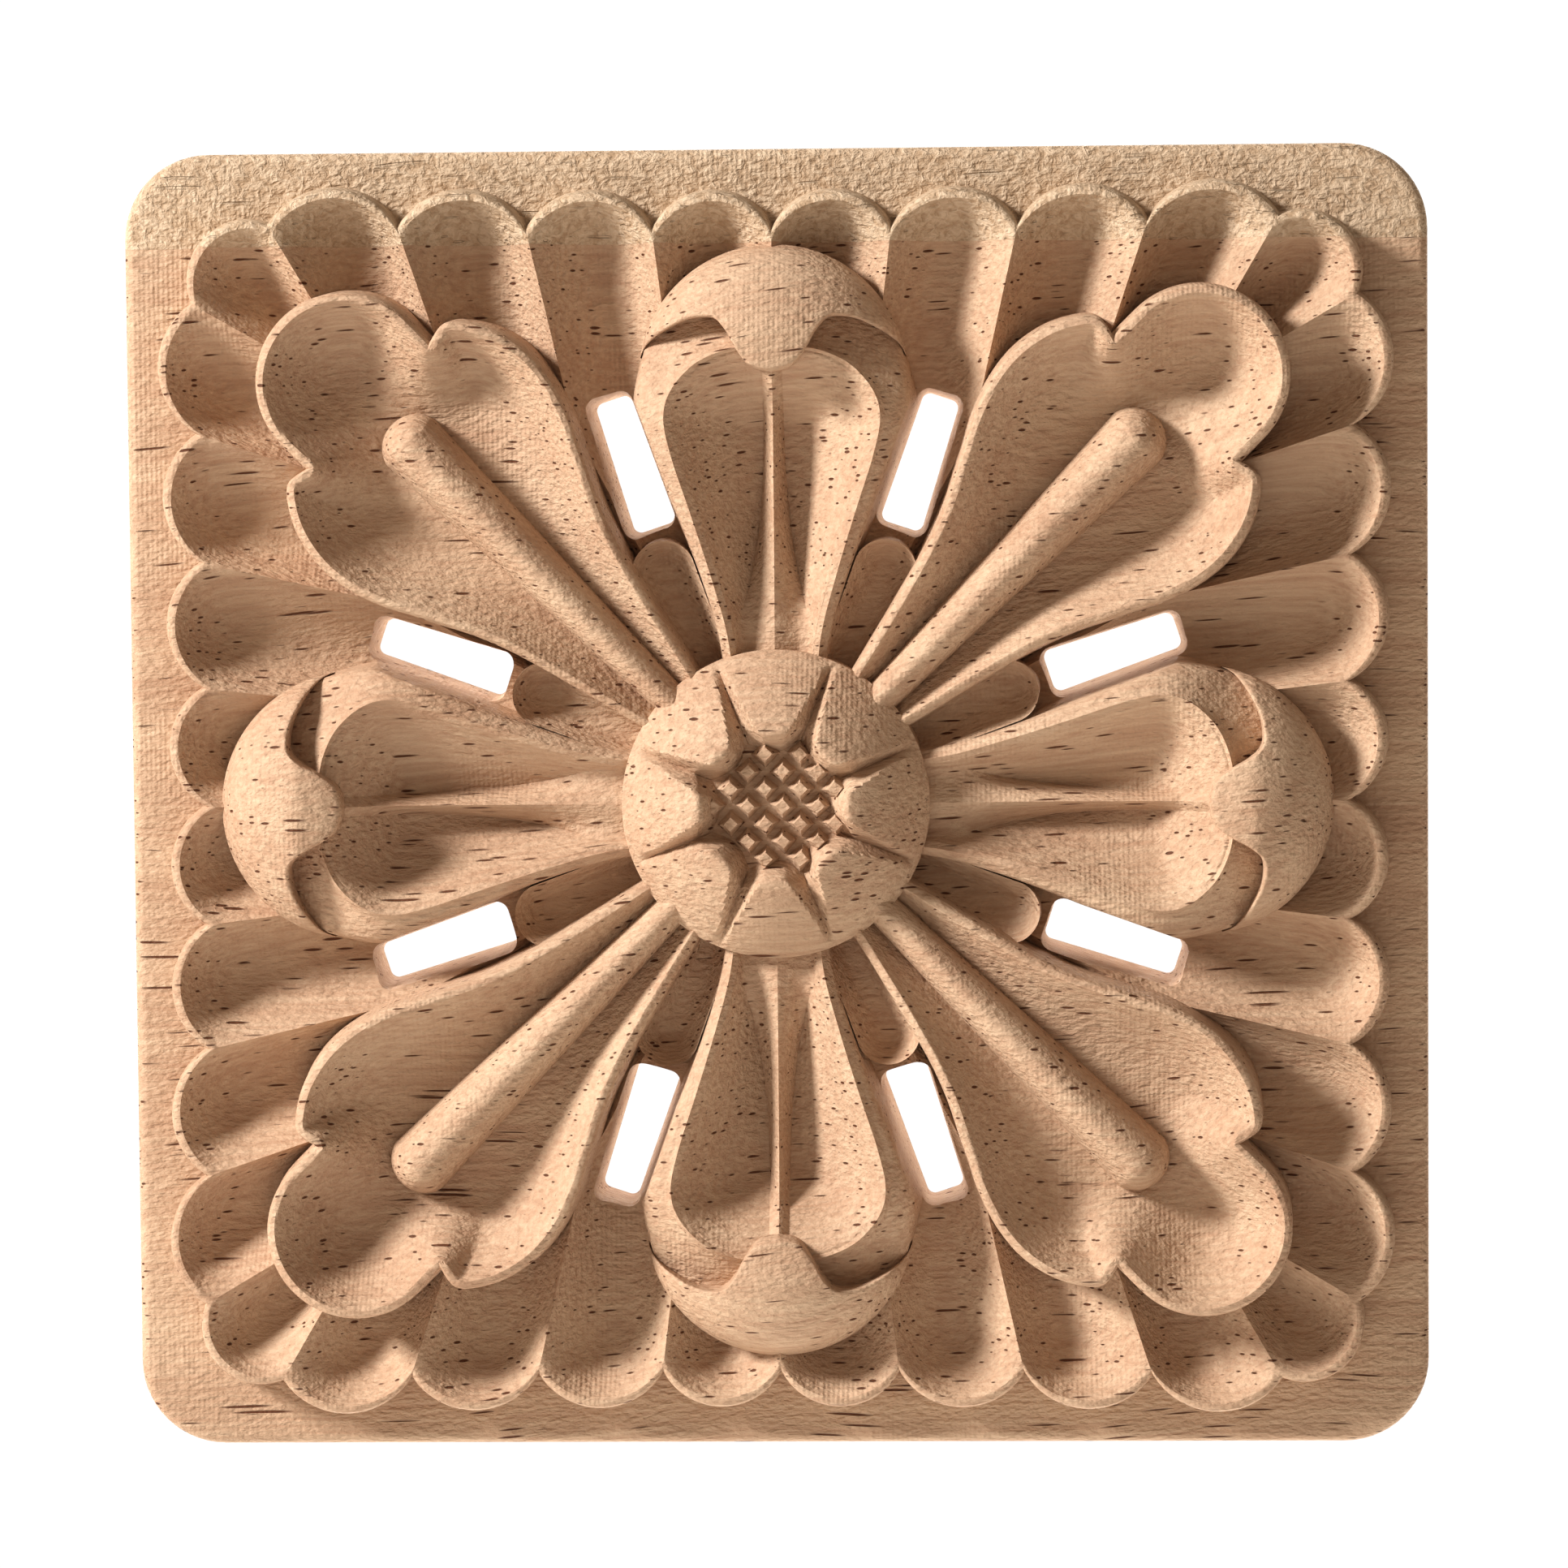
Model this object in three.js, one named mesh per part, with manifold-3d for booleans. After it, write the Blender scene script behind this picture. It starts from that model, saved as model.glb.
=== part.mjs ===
import * as THREE from "three";
import Module from "manifold-3d";

// A carved square corner block for furniture and door casings, in millimetres.
// The carving is worked out lying down: x to the right, y up the block, height out of its flat back.
// The finished block stands upright, with its flat back at y = 0 and its carving towards -Y.

// Plate that everything is carved from
const blockSide = 80;
const blockCornerRadius = 5.2;
const plateThickness = 5;

// Scalloped border: a raised pad whose edge is a row of spoon-ended flutes
const borderMargin = 2.5;
const borderHeight = 8;
const borderDraft = 0.6;
const borderInnerReach = 22.5;
const borderBow = 0.5;
const flutesPerHalfSide = 4;
const scallopRise = 2.2;
const fluteDepth = 2.6;
const fluteSpoonLength = 4.2;
const ridgeFall = 1.6;
const ridgeLean = 0.42;
const cornerRidgeLean = 0.16;
const cornerFluteInset = 4.5;
const cornerInnerInset = 9.5;
const seatHeight = 2;
const seatInset = 0.4;

// Diagonal leaves
const leafReach = 42;
const leafHalfWidth = 9.75;
const leafTipRadius = 5.4;
const leafNotchAngle = 112;
const leafHeight = 10.7;
const leafRootDrop = 2.4;
const leafHollowDepth = 3.9;
const leafRootWall = 2.2;
const leafTipWall = 5.6;
const leafRibReach = 30.9;
const leafRibRadius = 2.1;
const leafRibHeight = 3.4;
const leafDraft = 0.8;

// Cross petals, whose tips curl over
const petalReach = 33.9;
const petalHalfWidth = 8.1;
const petalHeight = 9.8;
const petalRootDrop = 2.2;
const petalHollowDepth = 4;
const petalRootWall = 2.4;
const petalTipWall = 5.6;
const petalRibHeight = 1.7;
const petalRibTipWidth = 0.62;
const petalRibFlare = 3.4;
const petalPocketDepth = 2.8;
const petalDraft = 0.7;
const curlHeight = 12;
const curlRise = 5.6;
const curlTongueDip = 0.35;
const curlOverhang = 0.15;

// Leaflets in the gaps beside the boss
const leafletReach = 17.6;
const leafletHalfWidth = 1.95;
const leafletEndLength = 1.9;
const leafletHeight = 7.8;
const leafletHollowDepth = 2;
const leafletDraft = 0.4;
const leafletTurn = 25.5;

// Slots cut right through, each between a petal and a leaf
const slotMiddleX = 8.95;
const slotMiddleY = 20.8;
const slotLength = 8.3;
const slotInnerWidth = 2.55;
const slotOuterWidth = 2.2;
const slotCornerRadius = 0.45;
const slotTurn = 18.5;
const slotDraft = 0.8;

// Boss in the middle
const bossRadius = 9.4;
const bossHeight = 12.3;
const bossEdgeHeight = 8.6;
const bossDraft = 0.2;
const bossSepals = 8;
const eyeRadius = 4.2;
const eyePointRadius = 5;
const eyeDepth = 2.1;
const eyeWallRun = 0.6;
const sepalSlopePower = 1.5;
const sepalLipFall = 0.7;
const sepalGrooveReach = 9.2;
const sepalGrooveDepth = 1.1;
const sepalGrooveWidth = 0.75;
const studPitch = 1.5;
const studBaseShare = 0.92;
const studTopShare = 0.5;
const studHeight = 1.1;

// How finely round forms are cut into flats
const cornerSteps = 7;
const scallopSteps = 4;
const leafSideSteps = 1;
const leafTipSteps = 7;
const leafletSideSteps = 1;
const leafletEndSteps = 3;
const slotCornerSteps = 2;

const quarter = Math.PI / 2;
const wasm = await Module();
wasm.setup();

const mix = (a, b, share) => a + (b - a) * share;
const clamp = (value, low, high) => Math.min(high, Math.max(low, value));
const radians = THREE.MathUtils.degToRad;

// A closed skin of triangles, in which points that lie together are one corner.
class Skin {
  constructor() {
    this.corners = new Map();
    this.positions = [];
    this.faces = [];
  }

  corner(point) {
    const key = point.toArray().map((value) => Math.round(value * 1e4)).join();
    if (!this.corners.has(key)) {
      this.corners.set(key, this.positions.length / 3);
      this.positions.push(point.x, point.y, point.z);
    }
    return this.corners.get(key);
  }

  face(a, b, c) {
    const ids = [this.corner(a), this.corner(b), this.corner(c)];
    if (new Set(ids).size === 3) {
      this.faces.push(...ids);
    }
  }

  // The strip between two rows with as many points as each other.
  strip(lower, upper) {
    for (let i = 1; i < lower.length; i += 1) {
      this.face(lower[i - 1], lower[i], upper[i]);
      this.face(lower[i - 1], upper[i], upper[i - 1]);
    }
  }

  // The fan from one point to a row.
  fan(hub, row) {
    for (let i = 1; i < row.length; i += 1) {
      this.face(hub, row[i - 1], row[i]);
    }
  }

  solid() {
    const mesh = new wasm.Mesh({
      numProp: 3,
      vertProperties: new Float32Array(this.positions),
      triVerts: new Uint32Array(this.faces),
    });
    return new wasm.Manifold(mesh);
  }
}

// The same skin turned about the middle of the block, and mirrored first when asked.
function turned(skin, angle, mirrored = false) {
  const axis = new THREE.Vector3(0, 0, 1);
  const points = [];
  for (let i = 0; i < skin.positions.length; i += 3) {
    const point = new THREE.Vector3().fromArray(skin.positions, i);
    point.x = mirrored ? -point.x : point.x;
    points.push(point.applyAxisAngle(axis, angle));
  }
  const copy = new Skin();
  for (let i = 0; i < skin.faces.length; i += 3) {
    const [a, b, c] = skin.faces.slice(i, i + 3).map((id) => points[id]);
    copy.face(a, mirrored ? c : b, mirrored ? b : c);
  }
  return copy;
}

// A skin with a flat bottom and top, both with as many corners as each other, anticlockwise.
function blockSkin(low, high) {
  const skin = new Skin();
  skin.strip([...low, low[0]], [...high, high[0]]);
  skin.fan(high[0], high.slice(1));
  skin.fan(low[0], low.slice(1).reverse());
  return skin;
}

// A skin of rows that each cross a leaf, from its foot on the left, over the top, to its foot on the right.
function crossedSkin(rows) {
  const skin = new Skin();
  const rootEnd = [...rows[0]].reverse();
  skin.fan(rootEnd[0], rootEnd.slice(1));
  for (let i = 1; i < rows.length; i += 1) {
    const here = rows[i];
    const before = rows[i - 1];
    skin.strip(before, here);
    skin.strip([here[0], here[here.length - 1]], [before[0], before[before.length - 1]]);
  }
  return skin;
}

// One crossing row, the same on both sides of the middle line.
function crossRow(spineY, crest, stations) {
  const right = stations.map(([x, y, height]) => new THREE.Vector3(x, y, height));
  const left = right.map((p) => new THREE.Vector3(-p.x, p.y, p.z)).reverse();
  return [...left, new THREE.Vector3(0, spineY, crest), ...right];
}

// A skin of lines all round the middle, each running from the bottom out, up and back in to the top.
function wheelSkin(lines, low, high) {
  const skin = new Skin();
  const bottom = new THREE.Vector3(0, 0, low);
  const top = new THREE.Vector3(0, 0, high);
  lines.forEach((line, i) => {
    const next = lines[(i + 1) % lines.length];
    skin.strip(line, next);
    skin.face(top, next[next.length - 1], line[line.length - 1]);
    skin.face(bottom, line[0], next[0]);
  });
  return skin;
}

// How far a place is from the nearest part of a line of points.
function distanceTo(line, place) {
  const lying = (point) => new THREE.Vector3(point.x, point.y, 0);
  const from = lying(place);
  const nearest = new THREE.Vector3();
  const away = line.slice(1).map((end, i) => {
    const part = new THREE.Line3(lying(line[i]), lying(end));
    return part.closestPointToPoint(from, true, nearest).distanceTo(from);
  });
  return Math.min(...away);
}

// Points along a smooth curve through points given as shares of a half width and a reach.
function smoothLine(shares, halfWidth, reach, stepsBetween) {
  const points = shares.map(([x, y]) => new THREE.Vector2(x * halfWidth, y * reach));
  return new THREE.SplineCurve(points).getPoints((points.length - 1) * stepsBetween);
}

// A point on the round end of a petal, by its angle up from the petal's widest place.
function onRoundEnd(halfWidth, reach, degrees) {
  const x = degrees === 90 ? 0 : halfWidth * Math.cos(radians(degrees));
  return new THREE.Vector2(x, reach - halfWidth + halfWidth * Math.sin(radians(degrees)));
}

// Plate: a flat square with round corners
function plateSkin() {
  const middle = blockSide / 2 - blockCornerRadius;
  const outline = [];
  for (let corner = 0; corner < 4; corner += 1) {
    const from = corner * quarter;
    const x = middle * Math.sign(Math.cos(from + quarter / 2));
    const y = middle * Math.sign(Math.sin(from + quarter / 2));
    for (let i = 0; i <= cornerSteps; i += 1) {
      const angle = from + (i / cornerSteps) * quarter;
      outline.push([x + blockCornerRadius * Math.cos(angle), y + blockCornerRadius * Math.sin(angle)]);
    }
  }
  const atHeight = (height) => outline.map(([x, y]) => new THREE.Vector3(x, y, height));
  return blockSkin(atHeight(0), atHeight(plateThickness));
}

// Border: a ridge between two flutes runs from the border's edge to its inner end under the leaves.
function ridge(index) {
  const share = Math.abs(index) / flutesPerHalfSide;
  const side = Math.sign(index);
  const valley = blockSide / 2 - borderMargin - scallopRise;
  const outerX = (valley - cornerFluteInset) * share ** 1.04;
  const outerY = valley + borderBow * (share ** 2 - 0.5);
  const innerY = mix(borderInnerReach, valley - cornerInnerInset, share ** 3);
  const lean = ridgeLean * share ** 0.9 + cornerRidgeLean * share ** 12;
  const innerX = outerX - lean * (outerY - innerY);
  return {
    outer: new THREE.Vector2(side * outerX, outerY),
    inner: new THREE.Vector2(side * innerX, innerY),
  };
}

// Lines across one flute, from its first ridge on, each running from the border's foot inwards.
function fluteLines(start, end) {
  const chord = end.outer.clone().sub(start.outer);
  const outward = new THREE.Vector2(-chord.y, chord.x).normalize();
  const halfChord = chord.length() / 2;
  const radius = (halfChord ** 2 + scallopRise ** 2) / (2 * scallopRise);
  const lines = [];
  for (let i = 0; i < scallopSteps; i += 1) {
    const across = i / scallopSteps;
    const fromMiddle = 2 * across - 1;
    const bulge = Math.sqrt(radius ** 2 - (fromMiddle * halfChord) ** 2) - (radius - scallopRise);
    const outer = start.outer.clone().lerp(end.outer, across).addScaledVector(outward, bulge);
    const inner = start.inner.clone().lerp(end.inner, across);
    const length = outer.distanceTo(inner);
    const inward = inner.clone().sub(outer).normalize();
    const foot = outer.clone().addScaledVector(inward, -borderDraft);
    const line = [new THREE.Vector3(foot.x, foot.y, 0)];
    for (const reach of [0, 0.3 * fluteSpoonLength, fluteSpoonLength, length]) {
      const spoon = 1 - (1 - clamp(reach / fluteSpoonLength, 0, 1)) ** 2.3;
      const hollow = fluteDepth * (1 - fromMiddle ** 2) * spoon;
      const place = outer.clone().addScaledVector(inward, reach);
      line.push(new THREE.Vector3(place.x, place.y, borderHeight - (ridgeFall * reach) / length - hollow));
    }
    lines.push(line);
  }
  return lines;
}

function borderLines() {
  const centre = new THREE.Vector2();
  const ridges = [];
  for (let turn = 0; turn < 4; turn += 1) {
    for (let i = -flutesPerHalfSide; i <= flutesPerHalfSide; i += 1) {
      const { outer, inner } = ridge(i);
      outer.rotateAround(centre, -turn * quarter);
      inner.rotateAround(centre, -turn * quarter);
      ridges.push({ outer, inner });
    }
  }
  return ridges.flatMap((start, i) => fluteLines(start, ridges[(i + 1) % ridges.length]));
}

// Seat: what is cleared from the plate under the border, whose flutes reach below the plate's face
function seatSkin(lines) {
  const posts = lines.map((line) => {
    const outer = line[1].clone().setZ(0);
    outer.setLength(outer.length() - seatInset);
    return [outer.clone().setZ(seatHeight), outer.clone().setZ(borderHeight)];
  });
  return wheelSkin(posts, seatHeight, borderHeight);
}

// Slot: a cutter with round corners, a little narrower at its outer end and a little wider at its top
function slotSkin() {
  const middle = new THREE.Vector2(slotMiddleX, slotMiddleY);
  const centre = new THREE.Vector2();
  const corners = [
    [-slotInnerWidth / 2, -slotLength / 2],
    [slotInnerWidth / 2, -slotLength / 2],
    [slotOuterWidth / 2, slotLength / 2],
    [-slotOuterWidth / 2, slotLength / 2],
  ];
  const outline = (grown, height) => corners.flatMap(([x, y], corner) => {
    const roundX = x - Math.sign(x) * slotCornerRadius;
    const roundY = y - Math.sign(y) * slotCornerRadius;
    return Array.from({ length: slotCornerSteps + 1 }, (_, i) => {
      const angle = (corner + 2 + i / slotCornerSteps) * quarter;
      const point = new THREE.Vector2(Math.cos(angle), Math.sin(angle));
      point.multiplyScalar(slotCornerRadius + grown);
      point.x += roundX;
      point.y += roundY;
      point.rotateAround(centre, -radians(slotTurn)).add(middle);
      return new THREE.Vector3(point.x, point.y, height);
    });
  });
  return blockSkin(outline(0, -1), outline(slotDraft, leafHeight + 1));
}

// Leaf: half its edge, from under the boss round its side lobe to the notch, then up and round its tip
function leafEdge() {
  const tipCentre = leafReach - leafTipRadius;
  const onTip = (angle) => {
    const x = leafTipRadius * Math.sin(Math.min(angle, quarter));
    return new THREE.Vector2(x, tipCentre + leafTipRadius * Math.cos(angle));
  };
  const notch = onTip(radians(leafNotchAngle));
  const side = [
    [0.17, 0.139],
    [0.46, 0.417],
    [0.7, 0.545],
    [0.83, 0.605],
    [0.905, 0.657],
    [0.93, 0.71],
    [0.893, 0.76],
    [0.81, 0.8],
    [0.7, 0.827],
    [notch.x / leafHalfWidth, notch.y / leafReach],
  ];
  const points = smoothLine(side, leafHalfWidth, leafReach, leafSideSteps);
  for (let i = 1; i <= leafTipSteps; i += 1) {
    points.push(onTip(radians(leafNotchAngle) * (1 - i / leafTipSteps)));
  }
  return points;
}

// A leaf lies along +y. Its rows fan out from the middle line, and beyond the rib's end from that end.
function leafSkin() {
  const edge = leafEdge();
  const root = edge[0].y;
  const rows = edge.map((end) => {
    const spineY = clamp(end.y - 0.25 * end.x, root, leafRibReach);
    const spine = new THREE.Vector2(0, spineY);
    const length = end.distanceTo(spine);
    const out = end.clone().sub(spine).normalize();
    const grown = (spineY - root) / (leafRibReach - root);
    const ribHalf = Math.min(mix(0.45, 1, grown) * leafRibRadius, 0.55 * length);
    const rim = leafHeight - leafRootDrop * (1 - grown) ** 2;
    const depth = leafHollowDepth * mix(0.5, 1, grown);
    const crest = rim - depth + leafRibHeight * mix(0.75, 1, grown);
    const wall = mix(leafRootWall, leafTipWall, grown ** 0.8);
    const at = (reach) => spine.clone().addScaledVector(out, reach);
    const bowl = (reach) => {
      const inside = clamp(distanceTo(edge, at(reach)) / wall, 0, 1);
      return rim - depth * (1 - (1 - inside) ** 1.8);
    };
    const stations = [
      [0.7 * ribHalf, mix(bowl(0.7 * ribHalf), crest, 0.71)],
      ...[0, 0.45, 0.8].map((share) => mix(ribHalf, length, share)).map((reach) => [reach, bowl(reach)]),
      [length, rim],
      [length + leafDraft, 0],
    ];
    const placed = stations.map(([reach, height]) => [...at(reach).toArray(), height]);
    return crossRow(spineY, crest, placed);
  });
  return crossedSkin(rows);
}

// A petal lies along +y. Its hollow's rim and its outer edge are given in pairs, from the boss to the tip.
function petalSkin() {
  const rimShares = [
    [0.3, 0.18],
    [0.35, 0.3],
    [0.47, 0.41],
    [0.62, 0.525],
    [0.75, 0.62],
    [0.81, 0.69],
    [0.76, 0.74],
    [0.6, 0.785],
    [0.4, 0.81],
    [0.2, 0.82],
    [0, 0.822],
  ];
  const sideShares = [
    [0.36, 0.18],
    [0.42, 0.3],
    [0.55, 0.41],
    [0.74, 0.53],
    [0.94, 0.635],
    [1.04, 0.71],
  ];
  const rim = smoothLine(rimShares, petalHalfWidth, petalReach, 1);
  const side = smoothLine(sideShares, petalHalfWidth, petalReach, 1);
  const roundEnd = [8, 28, 48, 68, 90].map((degrees) => onRoundEnd(petalHalfWidth, petalReach, degrees));
  const edge = [...side, ...roundEnd];
  const root = rim[0].y;
  const spineEnd = 0.785 * petalReach;
  const rows = rim.map((rimPoint, i) => {
    const spineY = clamp(rimPoint.y - 0.15 * rimPoint.x, root, spineEnd);
    const spine = new THREE.Vector2(0, spineY);
    const length = rimPoint.distanceTo(spine);
    const out = rimPoint.clone().sub(spine).normalize();
    const grown = (spineY - root) / (spineEnd - root);
    const rimHeight = petalHeight - petalRootDrop * (1 - grown) ** 2;
    const depth = petalHollowDepth * Math.sin(Math.PI * mix(0.25, 0.75, grown));
    const crest = rimHeight - depth + petalRibHeight * mix(2.1, 0.75, grown);
    const ribFoot = Math.min(petalRibTipWidth + petalRibFlare * (1 - grown) ** 3, 0.78 * length);
    const wall = mix(petalRootWall, petalTipWall, grown);
    const at = (reach) => spine.clone().addScaledVector(out, reach);
    const bowl = (reach) => {
      const inside = clamp(distanceTo(rim, at(reach)) / wall, 0, 1);
      return rimHeight - depth * (1 - (1 - inside) ** 1.6);
    };
    const stations = [
      [0.35 * ribFoot, mix(bowl(0.35 * ribFoot), crest, 0.5)],
      ...[0, 0.5].map((share) => mix(ribFoot, length, share)).map((reach) => [reach, bowl(reach)]),
      [length, rimHeight],
    ];
    const placed = stations.map(([reach, height]) => [...at(reach).toArray(), height]);
    const band = edge[i].clone().sub(rimPoint);
    const pocket = clamp((i - 4) / 3, 0, 1);
    const drop = Math.min(0.9 * band.length(), petalPocketDepth);
    for (const share of [0.5, 1]) {
      const place = rimPoint.clone().addScaledVector(band, share);
      const fall = mix(1 - Math.sqrt(1 - share ** 2), share ** 0.8, pocket);
      placed.push([place.x, place.y, rimHeight - drop * fall]);
    }
    const foot = edge[i].clone().addScaledVector(band.clone().normalize(), petalDraft);
    placed.push([foot.x, foot.y, 0]);
    return crossRow(spineY, crest, placed);
  });
  return crossedSkin(rows);
}

// Curl: part of a ball over the petal's tip, between a lip shaped like a bow and the petal's round end
function curlSkin() {
  const halfWidth = petalHalfWidth + curlOverhang;
  const reach = petalReach + curlOverhang;
  const ballY = reach - halfWidth;
  const horn = onRoundEnd(halfWidth, reach, 10);
  const lipShares = [
    [horn.x / halfWidth, horn.y / reach],
    [0.93, 0.822],
    [0.8, 0.845],
    [0.61, 0.866],
    [0.43, 0.868],
    [0.33, 0.845],
    [0.25, 0.81],
    [0.15, 0.781],
    [0, 0.771],
  ];
  const lip = smoothLine(lipShares, halfWidth, reach, 1);
  const edge = [10, 17, 27, 39, 51, 62, 72, 81, 90].map((degrees) => onRoundEnd(halfWidth, reach, degrees));
  const onBall = (place) => {
    const away = Math.min(Math.hypot(place.x, place.y - ballY) / (1.02 * halfWidth), 1);
    const dip = Math.max(0, ballY + 0.4 * halfWidth - place.y) * curlTongueDip;
    const height = curlHeight - curlRise * (1 - Math.sqrt(1 - away ** 2)) - dip;
    return new THREE.Vector3(place.x, place.y, height);
  };
  const half = lip.map((lipPoint, i) => {
    const top = [0, 0.3, 0.6, 0.85, 1].map((share) => onBall(lipPoint.clone().lerp(edge[i], share)));
    return [top[0].clone().setZ(0), ...top, top[top.length - 1].clone().setZ(0)];
  });
  const otherHalf = half.slice(0, -1).reverse();
  const mirrored = otherHalf.map((row) => row.map((p) => new THREE.Vector3(-p.x, p.y, p.z)));
  return crossedSkin([...half, ...mirrored]);
}

// Leaflet: a small spoon with a round end, along +y
function leafletSkin() {
  const root = bossRadius - 2;
  const roundStart = leafletReach - leafletEndLength;
  const floor = leafletHeight - leafletHollowDepth;
  const lastRow = leafletSideSteps + leafletEndSteps;
  const rows = [];
  for (let i = 0; i <= lastRow; i += 1) {
    const straight = clamp(i / leafletSideSteps, 0, 1);
    const angle = clamp((i - leafletSideSteps) / leafletEndSteps, 0, 1) * quarter;
    const half = i === lastRow ? 0 : leafletHalfWidth * mix(0.6, 1, straight) * Math.cos(angle);
    const y = mix(root, roundStart, straight) + leafletEndLength * Math.sin(angle);
    const spineY = Math.min(y, roundStart);
    const stations = [
      [0.6 * half, mix(spineY, y, 0.6), mix(floor, leafletHeight, 0.3)],
      [half, y, leafletHeight],
      [half, y + leafletDraft * Math.sin(angle), 0],
    ];
    rows.push(crossRow(spineY, floor, stations));
  }
  return crossedSkin(rows);
}

// Boss: a dome of sepals round a sunken eye, each sepal parted from the next by a groove
function bossSkin() {
  const sector = (2 * Math.PI) / bossSepals;
  const eyeFloor = bossHeight - eyeDepth;
  const lines = [];
  for (let sepal = 0; sepal < bossSepals; sepal += 1) {
    for (const share of [0, 0.06, 0.24, 0.5, 0.76, 0.94]) {
      const angle = sector * (sepal + 0.5 + share);
      const fromMiddle = Math.abs(2 * share - 1);
      const eye = mix(eyeRadius, eyePointRadius, fromMiddle ** 2);
      const line = [[eye - eyeWallRun, eyeFloor]];
      for (const reach of [0, 0.2, 0.45, 0.75]) {
        const radius = mix(eye, bossRadius, reach);
        const fromEye = clamp((radius - eyeRadius) / (bossRadius - eyeRadius), 0, 1);
        const lipFall = reach === 0 ? sepalLipFall : 0;
        const fade = clamp((sepalGrooveReach - radius) / (sepalGrooveReach - eye), 0, 1);
        const beside = ((radius * sector) / 2) * (1 - fromMiddle);
        const width = sepalGrooveWidth * mix(0.45, 1, fade);
        const groove = sepalGrooveDepth * fade ** 0.7 * Math.exp(-((beside / width) ** 1.3));
        const dome = mix(bossHeight, bossEdgeHeight, fromEye ** sepalSlopePower);
        line.push([radius, dome - lipFall - groove]);
      }
      line.push([bossRadius, bossEdgeHeight], [bossRadius + bossDraft, 0]);
      const across = Math.sin(angle);
      const up = Math.cos(angle);
      lines.push(line.map(([radius, z]) => new THREE.Vector3(radius * across, radius * up, z)));
    }
  }
  return wheelSkin(lines.map((line) => line.reverse()), 0, eyeFloor);
}

// Studs: small flat-topped pyramids inside the eye, on a square lattice turned by 45 degrees
function studSkins() {
  const floor = bossHeight - eyeDepth;
  const span = Math.ceil(eyePointRadius / studPitch);
  const ring = (across, up, half, z) => {
    const corners = [[-1, -1], [1, -1], [1, 1], [-1, 1]];
    return corners.map(([a, b]) => new THREE.Vector3(across + a * half, up + b * half, z));
  };
  const skins = [];
  for (let i = -span; i <= span; i += 1) {
    for (let k = -span; k <= span; k += 1) {
      const across = (i + 0.25) * studPitch;
      const up = (k + 0.25) * studPitch;
      if (Math.hypot(across, up) > eyeRadius - 0.2) {
        continue;
      }
      const low = ring(across, up, 0.5 * studBaseShare * studPitch, floor - 0.3);
      const high = ring(across, up, 0.5 * studTopShare * studPitch, floor + studHeight);
      skins.push(turned(blockSkin(low, high), quarter / 2));
    }
  }
  return skins;
}

function carvedBlock() {
  const lines = borderLines();
  const seat = seatSkin(lines).solid();
  const border = wheelSkin(lines, 0, plateThickness).solid();
  let block = plateSkin().solid().subtract(seat).add(border);
  const slot = slotSkin();
  const leaf = leafSkin();
  const petal = petalSkin();
  const curl = curlSkin();
  const leaflet = leafletSkin();
  for (let turn = 0; turn < 4; turn += 1) {
    const angle = turn * quarter;
    block = block.add(turned(leaf, angle + quarter / 2).solid());
    block = block.add(turned(petal, angle).solid());
    block = block.add(turned(curl, angle).solid());
    block = block.add(turned(leaflet, angle - radians(leafletTurn)).solid());
    block = block.add(turned(leaflet, angle + radians(leafletTurn)).solid());
  }
  for (let turn = 0; turn < 4; turn += 1) {
    block = block.subtract(turned(slot, turn * quarter).solid());
    block = block.subtract(turned(slot, turn * quarter, true).solid());
  }
  block = block.add(bossSkin().solid());
  for (const stud of studSkins()) {
    block = block.add(stud.solid());
  }
  return block;
}

function geometryOf(solid) {
  const { numProp, vertProperties, triVerts } = solid.getMesh();
  const count = vertProperties.length / numProp;
  const positions = new Float32Array(3 * count);
  for (let i = 0; i < count; i += 1) {
    positions.set(vertProperties.subarray(i * numProp, i * numProp + 3), 3 * i);
  }
  const geometry = new THREE.BufferGeometry();
  geometry.setAttribute("position", new THREE.BufferAttribute(positions, 3));
  geometry.setIndex(new THREE.BufferAttribute(triVerts, 1));
  geometry.computeVertexNormals();
  return geometry;
}

const paleHardwood = new THREE.MeshStandardMaterial({ color: 0xd3ac86, roughness: 0.62, metalness: 0 });
const block = new THREE.Mesh(geometryOf(carvedBlock()), paleHardwood);
block.name = "carved_corner_block";
block.rotation.x = quarter;

const group = new THREE.Group();
group.add(block);
export default group;
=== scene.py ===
"""Dresses a carved wooden corner block for rendering.

The forms of the carving are worked out lying down, in millimetres: x to the right, y up the
block, z out of its flat back. They are stood upright in metres as their meshes are made, with
the back at y = 0 and the carving towards -Y.
"""

import logging
import math
from dataclasses import dataclass
from enum import Enum

import bmesh
import bpy
import numpy as np
from bpy.types import Material, Mesh, Node, NodeSocket, NodeTree, Object
from mathutils import Matrix, Vector

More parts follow.
